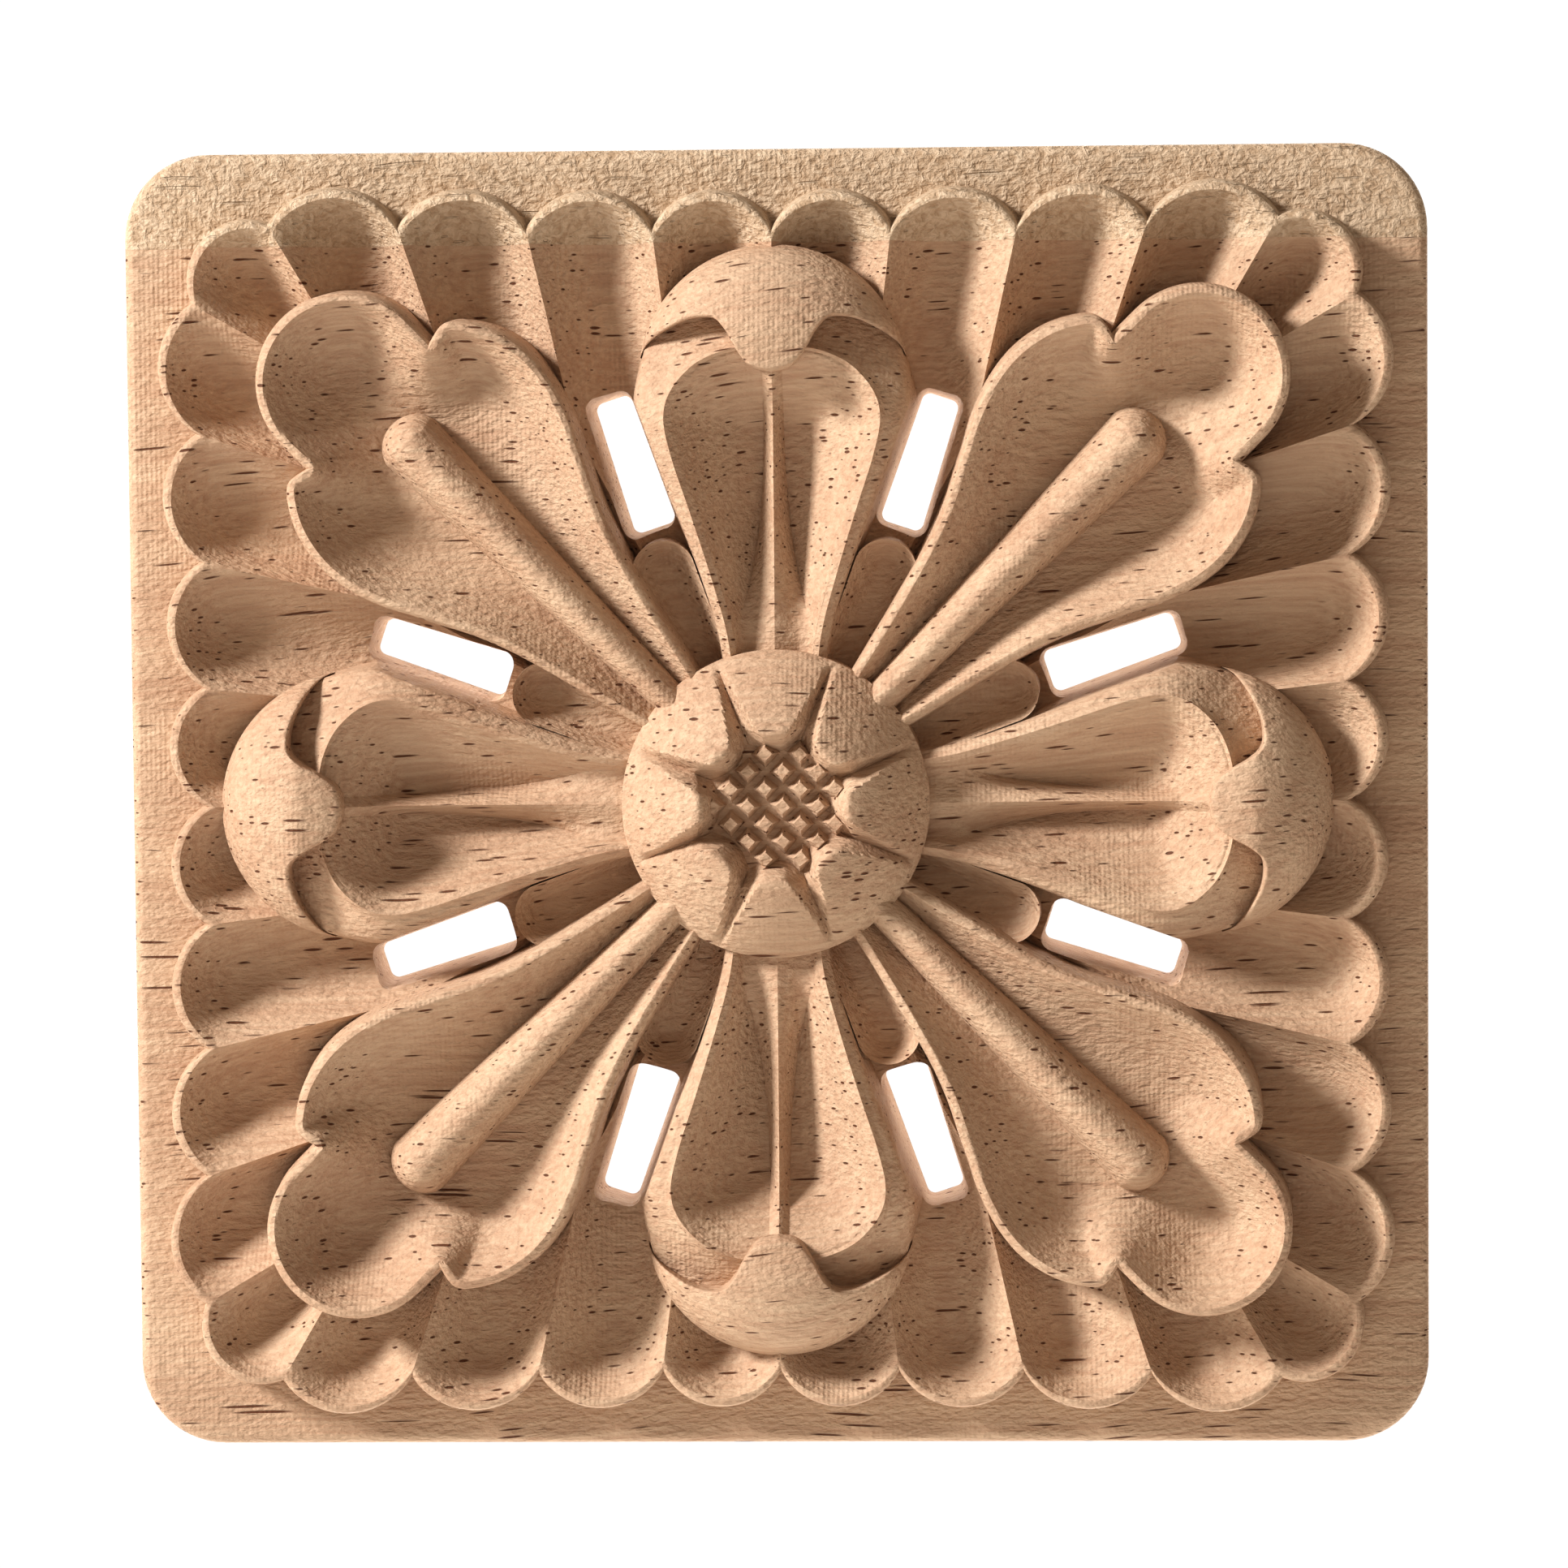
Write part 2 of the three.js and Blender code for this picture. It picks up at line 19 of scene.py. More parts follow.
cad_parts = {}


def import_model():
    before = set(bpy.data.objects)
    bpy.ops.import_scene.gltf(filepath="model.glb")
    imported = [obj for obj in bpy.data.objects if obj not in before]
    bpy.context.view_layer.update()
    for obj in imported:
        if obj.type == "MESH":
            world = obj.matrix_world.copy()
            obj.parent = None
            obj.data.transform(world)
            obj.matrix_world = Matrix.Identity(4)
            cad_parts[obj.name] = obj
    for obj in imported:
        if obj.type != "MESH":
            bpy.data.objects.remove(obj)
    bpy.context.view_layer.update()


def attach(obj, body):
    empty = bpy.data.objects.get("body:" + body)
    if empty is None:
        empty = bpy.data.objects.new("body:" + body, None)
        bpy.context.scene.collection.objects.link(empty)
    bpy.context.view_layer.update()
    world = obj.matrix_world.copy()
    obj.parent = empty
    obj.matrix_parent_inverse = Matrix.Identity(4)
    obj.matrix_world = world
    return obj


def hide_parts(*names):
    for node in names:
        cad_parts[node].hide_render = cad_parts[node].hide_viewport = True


LOG = logging.getLogger("carved_block")
MM = 0.001
QUARTER = math.pi / 2
WELD = 2e-7
# The radians that a wave texture of scale 1 runs through in one metre.
WAVE_TURNS = 20
# The studs' least and most turn and size, and the seeds that they are drawn with.
STUD_TURNS = (QUARTER * 0.42, QUARTER * 0.58)
STUD_SIZES = (0.86, 1.04)
TURN_SEED = 3
SIZE_SEED = 8
Shares = tuple[tuple[float, float], ...]


class Cut(Enum):
    """What a Boolean does with the second solid."""

    JOIN = "UNION"
    REMOVE = "DIFFERENCE"


def mix(low: float, high: float, share: float) -> float:
    """Goes from low to high as share goes from 0 to 1."""
    return low + (high - low) * share


def smooth_line(points: list | tuple, steps: int) -> np.ndarray:
    """Draws a smooth curve through points.

    Args:
        points: The points that the curve goes through.
        steps: How many steps lie between one point and the next.

    Returns:
        The points along the curve, one row each.
    """
    knots = np.asarray(points, float)
    last = len(knots) - 1
    line = []
    for k in range(last * steps + 1):
        i = min(k // steps, last - 1)
        t = k / steps - i
        before, here, after = knots[max(i - 1, 0)], knots[i], knots[i + 1]
        beyond = knots[min(i + 2, last)]
        leave, arrive = (after - before) / 2, (beyond - here) / 2
        cubic = 2 * here - 2 * after + leave + arrive
        square = -3 * here + 3 * after - 2 * leave - arrive
        line.append(cubic * t**3 + square * t**2 + leave * t + here)
    return np.array(line)


def on_round_end(half_width: float, reach: float, degrees: np.ndarray) -> np.ndarray:
    """Places points on the round end of a petal.

    Args:
        half_width: The radius of the round end.
        reach: How far the round end reaches from the middle of the block.
        degrees: The angle of each point, up from the petal's widest place.

    Returns:
        The points, one row each.
    """
    angle = np.radians(degrees)
    across = half_width * np.cos(angle)
    across[np.isclose(degrees, 90)] = 0
    return np.column_stack((across, reach - half_width + half_width * np.sin(angle)))


def distance_to(line: np.ndarray, places: np.ndarray) -> np.ndarray:
    """Measures how far places are from a line in the plan.

    Args:
        line: The line's points, one row each.
        places: The places, one row each.

    Returns:
        The distance of each place from the nearest part of the line.
    """
    run = line[1:] - line[:-1]
    from_start = places[:, None] - line[:-1]
    share = np.clip((from_start * run).sum(-1) / (run**2).sum(-1), 0, 1)
    return np.linalg.norm(from_start - run * share[..., None], axis=-1).min(axis=1)


def face_out(mesh: Mesh) -> None:
    """Merges a mesh's doubles and turns its faces outwards.

    Args:
        mesh: The mesh, which is changed.
    """
    work = bmesh.new()
    work.from_mesh(mesh)
    bmesh.ops.remove_doubles(work, verts=work.verts, dist=WELD)
    bmesh.ops.dissolve_degenerate(work, edges=work.edges, dist=WELD)
    bmesh.ops.recalc_face_normals(work, faces=work.faces)
    bmesh.ops.triangulate(work, faces=work.faces)
    work.to_mesh(mesh)
    work.free()


def form(name: str, rows: np.ndarray, wrapped: bool, ends: int) -> Object:
    """Makes an upright object from rows of points worked out lying down.

    Args:
        name: The object's name.
        rows: Rows by points by x, y, z, in millimetres.
        wrapped: True if the last point of each row is joined to its first.
        ends: How many of the first and last rows are closed by a face of their own.

    Returns:
        The object, linked to the scene.
    """
    count, across = rows.shape[:2]
    index = np.arange(count * across).reshape(count, across)
    faces = [index[0].tolist(), index[-1].tolist()][:ends]
    if wrapped:
        index = np.hstack((index, index[:, :1]))
    corners = (index[:-1, :-1], index[1:, :-1], index[1:, 1:], index[:-1, 1:])
    faces += np.stack(corners, -1).reshape(-1, 4).tolist()
    flat = rows.reshape(-1, 3) * MM
    upright = np.column_stack((flat[:, 0], -flat[:, 2], flat[:, 1]))
    mesh = bpy.data.meshes.new(name)
    mesh.from_pydata(upright.tolist(), [], faces)
    face_out(mesh)
    made = bpy.data.objects.new(name, mesh)
    bpy.context.scene.collection.objects.link(made)
    return made


def mirrored(rows: np.ndarray) -> np.ndarray:
    """Returns rows of points mirrored left to right."""
    return rows * np.array([-1, 1, 1])


def crossing(spine: np.ndarray, right: np.ndarray) -> np.ndarray:
    """Returns rows across a leaf-like form, from its middle points and its right half."""
    return np.concatenate((mirrored(right)[:, ::-1], spine[:, None], right), axis=1)


def plain_mesh(thing: Object) -> Mesh:
    """Makes a plain mesh of an object as its modifiers leave it.

    Args:
        thing: The object.

    Returns:
        The new mesh.
    """
    bpy.context.view_layer.update()
    graph = bpy.context.evaluated_depsgraph_get()
    return bpy.data.meshes.new_from_object(thing.evaluated_get(graph))


def settle(thing: Object) -> None:
    """Applies an object's modifiers to its mesh.

    Args:
        thing: The object, which is left with a plain mesh and no modifier.
    """
    mesh = plain_mesh(thing)
    thing.modifiers.clear()
    thing.data = mesh
    face_out(mesh)


def combine(body: Object, other: Object, cut: Cut) -> None:
    """Joins a solid to the body or cuts it out of the body, and deletes it.

    Args:
        body: The solid that is kept.
        other: The solid that is joined or cut out.
        cut: Which of the two is done.
    """
    boolean = body.modifiers.new(other.name, "BOOLEAN")
    boolean.solver = "MANIFOLD"
    boolean.operation = cut.value
    boolean.object = other
    mesh = plain_mesh(body)
    body.modifiers.clear()
    body.data = mesh
    bpy.data.objects.remove(other)
    LOG.info("%s: %d faces", cut.name.lower(), len(mesh.polygons))


def add_node(
    tree: NodeTree,
    kind: str,
    settings: dict[str, object] | None = None,
    links: dict[str | int, object] | None = None,
) -> Node:
    """Adds a node to a tree.

    Args:
        tree: The tree.
        kind: The node's type.
        settings: The node's own settings by name.
        links: For each input, by name or number, its value, a socket to link to it, or a node
            whose first output is linked to it.

    Returns:
        The new node.
    """
    made = tree.nodes.new(kind)
    for name, value in (settings or {}).items():
        setattr(made, name, value)
    for name, value in (links or {}).items():
        if isinstance(value, Node):
            value = value.outputs[0]
        if isinstance(value, NodeSocket):
            tree.links.new(value, made.inputs[name])
        else:
            made.inputs[name].default_value = value
    return made


def run_tree(thing: Object, tree: NodeTree, values: dict[str, object]) -> None:
    """Runs a geometry tree on an object and keeps the result as its plain mesh.

    Args:
        thing: The object.
        tree: The tree, whose inputs have names.
        values: The value of each named input.
    """
    modifier = thing.modifiers.new(tree.name, "NODES")
    modifier.node_group = tree
    for item in tree.interface.items_tree:
        if item.in_out == "INPUT" and item.name in values:
            modifier[item.identifier] = values[item.name]
    settle(thing)


def new_tree(name: str, inputs: dict[str, str]) -> tuple:
    """Starts a geometry tree that takes a mesh and gives one back.

    Args:
        name: The tree's name.
        inputs: The kind of each further named input.

    Returns:
        The tree, its input node and its output node.
    """
    tree = bpy.data.node_groups.new(name, "GeometryNodeTree")
    tree.interface.new_socket("Mesh", in_out="INPUT", socket_type="NodeSocketGeometry")
    tree.interface.new_socket("Mesh", in_out="OUTPUT", socket_type="NodeSocketGeometry")
    for label, kind in inputs.items():
        tree.interface.new_socket(label, in_out="INPUT", socket_type=kind)
    return tree, add_node(tree, "NodeGroupInput"), add_node(tree, "NodeGroupOutput")


def turned_copies_tree() -> NodeTree:
    """Builds the tree that sets copies of a form round the middle of the block."""
    kinds = {
        "Copies": "NodeSocketInt",
        "Turn": "NodeSocketFloat",
        "First turn": "NodeSocketFloat",
        "Finish": "NodeSocketMaterial",
    }
    tree, given, result = new_tree("turned copies", kinds)
    asked = given.outputs
    points = add_node(tree, "GeometryNodePoints", links={"Count": asked["Copies"]})
    index = add_node(tree, "GeometryNodeInputIndex")
    parts = {0: index, 1: asked["Turn"], 2: asked["First turn"]}
    turn = add_node(tree, "ShaderNodeMath", {"operation": "MULTIPLY_ADD"}, parts)
    about = add_node(tree, "ShaderNodeCombineXYZ", links={"Y": turn})
    set_out = {"Points": points, "Instance": asked["Mesh"], "Rotation": about}
    copies = add_node(tree, "GeometryNodeInstanceOnPoints", links=set_out)
    finish_tree(tree, copies, given, result)
    return tree


def finish_tree(tree: NodeTree, instances: Node, given: Node, result: Node) -> None:
    """Ends a tree: copies made real, welded where they meet, and given their finish.

    Args:
        tree: The tree.
        instances: The node that the instances come from.
        given: The tree's input node.
        result: The tree's output node.
    """
    real = add_node(tree, "GeometryNodeRealizeInstances", links={0: instances})
    touching = {"Geometry": real, "Distance": WELD}
    welded = add_node(tree, "GeometryNodeMergeByDistance", links=touching)
    coat = {"Geometry": welded, "Material": given.outputs["Finish"]}
    dressed = add_node(tree, "GeometryNodeSetMaterial", links=coat)
    tree.links.new(dressed.outputs[0], result.inputs[0])


def lattice_tree() -> NodeTree:
    """Builds the tree that sets a form on a square lattice turned by 45 degrees."""
    kinds = {
        "Points a side": "NodeSocketInt",
        "Side": "NodeSocketFloat",
        "Field radius": "NodeSocketFloat",
        "Shift": "NodeSocketVector",
        "Finish": "NodeSocketMaterial",
    }
    tree, given, result = new_tree("turned lattice", kinds)
    asked = given.outputs
    side, count = asked["Side"], asked["Points a side"]
    square = {"Size X": side, "Size Y": side, "Vertices X": count, "Vertices Y": count}
    grid = add_node(tree, "GeometryNodeMeshGrid", links=square)
    move = {"Geometry": grid, "Translation": asked["Shift"]}
    shifted = add_node(tree, "GeometryNodeTransform", links=move)
    stand = {"Geometry": shifted, "Rotation": (QUARTER, QUARTER / 2, 0)}
    upright = add_node(tree, "GeometryNodeTransform", links=stand)
    place = add_node(tree, "GeometryNodeInputPosition")
    away = add_node(tree, "ShaderNodeVectorMath", {"operation": "LENGTH"}, {0: place})
    past = {0: away.outputs["Value"], 1: asked["Field radius"]}
    outside = add_node(tree, "ShaderNodeMath", {"operation": "GREATER_THAN"}, past)
    drop = {"Geometry": upright, "Selection": outside}
    field_only = add_node(tree, "GeometryNodeDeleteGeometry", {"domain": "POINT"}, drop)
    vector = {"data_type": "FLOAT_VECTOR"}
    turns = {i: (0, value, 0) for i, value in enumerate(STUD_TURNS)}
    turn = add_node(tree, "FunctionNodeRandomValue", vector, {**turns, "Seed": TURN_SEED})
    sizes = {i: (value, 1, value) for i, value in enumerate(STUD_SIZES)}
    size = add_node(tree, "FunctionNodeRandomValue", vector, {**sizes, "Seed": SIZE_SEED})
    set_out = {"Points": field_only, "Instance": asked["Mesh"], "Rotation": turn, "Scale": size}
    copies = add_node(tree, "GeometryNodeInstanceOnPoints", links=set_out)
    finish_tree(tree, copies, given, result)
    return tree


@dataclass(frozen=True)
class Workshop:
    """What every carver needs: the trees that repeat a form, and the finish it gets."""

    round_the_middle: NodeTree
    lattice: NodeTree
    finish: Material

    def turn(self, thing: Object, copies: int, first_degrees: float) -> Object:
        """Sets copies of a form evenly round the middle of the block.

        Args:
            thing: The form, which becomes all the copies.
            copies: How many copies there are.
            first_degrees: The first one's turn, clockwise for somebody who looks at the carving.

        Returns:
            The same object.
        """
        values = {
            "Copies": copies,
            "Turn": 2 * math.pi / copies,
            "First turn": math.radians(first_degrees),
            "Finish": self.finish,
        }
        run_tree(thing, self.round_the_middle, values)
        LOG.info("%s: %d copies", thing.name, copies)
        return thing


@dataclass
class Plate:
    """The square board with round corners that everything is carved from."""

    side: float = 80
    corner_radius: float = 5.2
    thickness: float = 5
    edge_round: float = 0.7
    back_edge_round: float = 0.3
    corner_steps: int = 14
    round_steps: int = 5

    def ring(self, inset: float, height: float) -> np.ndarray:
        """Draws the plate's outline.

        Args:
            inset: How far inside the plate's side the outline lies.
            height: Its height above the back.

        Returns:
            The points of the outline.
        """
        middle = self.side / 2 - self.corner_radius
        points = []
        for corner in range(4):
            start = corner * QUARTER
            x = middle * math.copysign(1, math.cos(start + QUARTER / 2))
            y = middle * math.copysign(1, math.sin(start + QUARTER / 2))
            for i in range(self.corner_steps + 1):
                angle = start + QUARTER * i / self.corner_steps
                radius = self.corner_radius - inset
                points.append((x + radius * math.cos(angle), y + radius * math.sin(angle), height))
        return np.array(points)

    def solid(self) -> Object:
        """Builds the plate with its rounded edges."""
        rings = []
        for i in range(self.round_steps + 1):
            angle = QUARTER * i / self.round_steps
            inset = self.back_edge_round * (1 - math.sin(angle))
            rings.append(self.ring(inset, self.back_edge_round * (1 - math.cos(angle))))
        for i in range(self.round_steps + 1):
            angle = QUARTER * i / self.round_steps
            inset = self.edge_round * (1 - math.cos(angle))
            height = self.thickness - self.edge_round * (1 - math.sin(angle))
            rings.append(self.ring(inset, height))
        return form("plate", np.array(rings), wrapped=True, ends=2)


@dataclass
class Border:
    """The raised pad whose edge is a row of spoon-ended flutes."""

    plate: Plate
    margin: float = 2.5
    height: float = 8
    draft: float = 0.9
    inner_reach: float = 22.5
    bow: float = 0.5
    flutes_per_half_side: int = 4
    scallop_rise: float = 2.2
    flute_depth: float = 2.6
    spoon_length: float = 4.2
    seat_height: float = 2
    seat_inset: float = 0.4
    ridge_fall: float = 1.6
    ridge_lean: float = 0.42
    corner_ridge_lean: float = 0.16
    corner_flute_inset: float = 4.5
    corner_inner_inset: float = 9.5
    crest_round: float = 0.6
    crest_steps: int = 4
    steps_across: int = 22
    spoon_steps: int = 14
    straight_steps: int = 8

    def ridge(self, index: int) -> tuple[np.ndarray, np.ndarray]:
        """Places the ridge between two flutes.

        Args:
            index: The ridge's number, counted from the middle of the top side.

        Returns:
            Its outer and its inner end.
        """
        share = abs(index) / self.flutes_per_half_side
        side = np.sign(index)
        valley = self.plate.side / 2 - self.margin - self.scallop_rise
        outer_x = (valley - self.corner_flute_inset) * share**1.04
        outer_y = valley + self.bow * (share**2 - 0.5)
        inner_y = mix(self.inner_reach, valley - self.corner_inner_inset, share**3)
        lean = self.ridge_lean * share**0.9 + self.corner_ridge_lean * share**12
        inner_x = outer_x - lean * (outer_y - inner_y)
        return np.array([side * outer_x, outer_y]), np.array([side * inner_x, inner_y])

    def flute(self, start: tuple, end: tuple) -> list[np.ndarray]:
        """Lays the lines that run inwards along one flute.

        Args:
            start: The ends of the ridge on its left.
            end: The ends of the ridge on its right.

        Returns:
            The lines from the left ridge up to the right one, without the last.
        """
        chord = end[0] - start[0]
        half_chord = np.linalg.norm(chord) / 2
        outward = np.array([-chord[1], chord[0]]) / (2 * half_chord)
        radius = (half_chord**2 + self.scallop_rise**2) / (2 * self.scallop_rise)
        lines = []
        for i in range(self.steps_across):
            across = i / self.steps_across
            from_middle = 2 * across - 1
            bulge = math.sqrt(radius**2 - (from_middle * half_chord) ** 2) - radius
            outer = mix(start[0], end[0], across) + outward * (bulge + self.scallop_rise)
            inner = mix(start[1], end[1], across)
            length = np.linalg.norm(inner - outer)
            inward = (inner - outer) / length
            crest = self.crest_round * np.arange(self.crest_steps) / self.crest_steps
            spoon_share = (np.arange(self.spoon_steps) / self.spoon_steps) ** 1.5
            spoon_end = self.crest_round + self.spoon_length
            straight = np.linspace(spoon_end, length, self.straight_steps)
            reach = np.concatenate((crest, mix(self.crest_round, spoon_end, spoon_share), straight))
            on_crest = 1 - np.clip(reach / self.crest_round, 0, 1)
            crest_fall = self.crest_round * (1 - np.sqrt(1 - on_crest**2))
            to_floor = 1 - np.clip((reach - self.crest_round) / self.spoon_length, 0, 1)
            hollow = self.flute_depth * (1 - from_middle**2) * (1 - to_floor**2.3)
            height = self.height - self.ridge_fall * reach / length - hollow - crest_fall
            place = outer + inward * reach[:, None]
            line = np.column_stack((place, height))
            foot = np.append(outer - inward * self.draft, 0)
            middle = np.array([[0, 0, self.plate.thickness]])
            lines.append(np.vstack(([0, 0, 0], foot, line, middle)))
        return lines

    def quarter(self) -> np.ndarray:
        """Lays the lines of one side and one corner of the pad."""
        count = self.flutes_per_half_side
        ridges = [self.ridge(i) for i in range(-count, count + 1)]
        over_the_corner = [np.array([end[1], -end[0]]) for end in ridges[0]]
        ridges.append(tuple(over_the_corner))
        lines = []
        for start, end in zip(ridges, ridges[1:]):
            lines += self.flute(start, end)
        last = lines[0] @ np.array([[0, -1, 0], [1, 0, 0], [0, 0, 1]])
        return np.array([*lines, last])

    def seat(self, shop: Workshop) -> Object:
        """Builds the solid that clears the plate under the pad, where the flutes are deep.

        Args:
            shop: The trees that repeat a form, and the finish.

        Returns:
            The solid.
        """
        outline = self.quarter()[:, 2, :2]
        length = np.linalg.norm(outline, axis=1, keepdims=True)
        outline = outline * (1 - self.seat_inset / length)
        low = np.full((len(outline), 1), self.seat_height)
        bottom, top = np.hstack((outline, low)), np.hstack((outline, low + self.height))
        below, above = bottom * (0, 0, 1), top * (0, 0, 1)
        lines = np.stack((below, bottom, top, above), axis=1)
        return shop.turn(form("seat", lines, wrapped=False, ends=0), 4, 0)

    def solid(self, shop: Workshop) -> Object:
        """Builds the pad from four turned quarters."""
        return shop.turn(form("border", self.quarter(), wrapped=False, ends=0), 4, 0)


@dataclass
class Slot:
    """A slot cut right through between a petal and a leaf, a little wider at its top."""

    middle_x: float = 8.95
    middle_y: float = 20.8
    length: float = 8.3
    inner_width: float = 2.55
    outer_width: float = 2.2
    corner_radius: float = 0.45
    corner_steps: int = 6
    turn_degrees: float = 18.5
    draft: float = 0.8
    depth: float = 11.7

    def outline(self, grown: float, height: float) -> list[tuple[float, float, float]]:
        """Draws the slot's outline.

        Args:
            grown: How much wider it is all round than at the back.
            height: Its height above the back.

        Returns:
            The points of the outline.
        """
        turn = math.radians(self.turn_degrees)
        inner = self.inner_width / 2 - self.corner_radius
        outer = self.outer_width / 2 - self.corner_radius
        end = self.length / 2 - self.corner_radius
        middles = ((-inner, -end), (inner, -end), (outer, end), (-outer, end))
        points = []
        for corner, (x, y) in enumerate(middles):
            for i in range(self.corner_steps + 1):
                angle = QUARTER * (corner + 2 + i / self.corner_steps)
                across = x + (self.corner_radius + grown) * math.cos(angle)
                along = y + (self.corner_radius + grown) * math.sin(angle)
                right = self.middle_x + across * math.cos(turn) + along * math.sin(turn)
                up = self.middle_y - across * math.sin(turn) + along * math.cos(turn)
                points.append((right, up, height))
        return points

    def rows(self) -> np.ndarray:
        """Lays the cutter's bottom and top outline."""
        return np.array([self.outline(0, -1), self.outline(self.draft, self.depth)])

    def solids(self, shop: Workshop) -> list[Object]:
        """Builds the cutters of the slots.

        Args:
            shop: The trees that repeat a form, and the finish.

        Returns:
            The four right-handed cutters and the four left-handed ones.
        """
        right = form("slots_right", self.rows(), wrapped=True, ends=2)
        left = form("slots_left", mirrored(self.rows()), wrapped=True, ends=2)
        return [shop.turn(right, 4, 0), shop.turn(left, 4, 0)]


@dataclass
class Leaf:
    """A hollow leaf with a club-shaped rib, two side lobes and a round tip."""

    reach: float = 42
    half_width: float = 9.75
    tip_radius: float = 5.4
    notch_degrees: float = 112
    height: float = 10.7
    root_drop: float = 2.4
    hollow_depth: float = 3.9
    root_wall: float = 2.2
    tip_wall: float = 5.2
    rib_reach: float = 30.9
    rib_radius: float = 2.1
    rib_height: float = 3.4
    draft: float = 0.7
    spine_lean: float = 0.25
    root_depth_share: float = 0.5
    root_crest_share: float = 0.75
    root_rib_share: float = 0.45
    most_rib_share: float = 0.55
    rim_round: float = 0.55
    side_steps: int = 8
    tip_steps: int = 44
    rib_steps: int = 8
    hollow_steps: int = 16
    side_shares: Shares = (
        (0.17, 0.139), (0.46, 0.417), (0.7, 0.545), (0.83, 0.605), (0.905, 0.657),
        (0.93, 0.71), (0.893, 0.76), (0.81, 0.8), (0.7, 0.827),
    )

    def edge(self) -> np.ndarray:
        """Draws the right half of the leaf's edge, from under the boss to the tip."""
        tip_middle = self.reach - self.tip_radius
        degrees = self.notch_degrees * (1 - np.arange(self.tip_steps + 1) / self.tip_steps)
        angle = np.radians(degrees)
        across = np.sin(np.minimum(angle, QUARTER))
        tip = np.column_stack((across, np.cos(angle))) * self.tip_radius
        tip[:, 1] += tip_middle
        size = (self.half_width, self.reach)
        side = smooth_line([*self.side_shares, tuple(tip[0] / size)], self.side_steps) * size
        return np.vstack((side, tip[1:]))

    def rows(self) -> np.ndarray:
        """Lays the rows that cross the leaf."""
        edge = self.edge()
        root = edge[0, 1]
        spines, halves = [], []
        for end in edge:
            spine_y = max(end[1] - self.spine_lean * end[0], root)
            spine = np.array([0, min(spine_y, self.rib_reach)])
            length = np.linalg.norm(end - spine)
            out = (end - spine) / length
            grown = (spine[1] - root) / (self.rib_reach - root)
            rim = self.height - self.root_drop * (1 - grown) ** 2
            depth = self.hollow_depth * mix(self.root_depth_share, 1, grown)
            crest = rim - depth + self.rib_height * mix(self.root_crest_share, 1, grown)
            widest = self.rib_radius * mix(self.root_rib_share, 1, grown)
            rib_half = min(widest, self.most_rib_share * length)
            angle = QUARTER * np.arange(1, self.rib_steps + 1) / self.rib_steps
            share = 1 - (1 - np.arange(1, self.hollow_steps + 1) / self.hollow_steps) ** 1.5
            top = length - self.rim_round
            away = np.concatenate((rib_half * np.sin(angle), mix(rib_half, top, share)))
            on_rib = np.concatenate((np.cos(angle), np.zeros(self.hollow_steps)))
            inside = distance_to(edge, spine + out * away[:, None]) - self.rim_round
            wall = mix(self.root_wall, self.tip_wall, grown**0.8)
            floor = rim - depth * (1 - (1 - np.clip(inside / wall, 0, 1)) ** 2)
            bowl = np.column_stack((away, mix(floor, crest, on_rib)))
            angle = QUARTER * np.array([0.35, 0.7, 1])
            fall = self.rim_round * (1 - np.cos(angle))
            crown = np.column_stack((top + self.rim_round * np.sin(angle), rim - fall))
            profile = np.vstack((bowl, crown, [length + self.draft, 0]))
            halves.append(np.column_stack((spine + out * profile[:, :1], profile[:, 1])))
            spines.append((0, spine[1], crest))
        return crossing(np.array(spines), np.array(halves))

    def solid(self, shop: Workshop) -> Object:
        """Builds the four leaves."""
        return shop.turn(form("leaves", self.rows(), wrapped=True, ends=1), 4, 45)


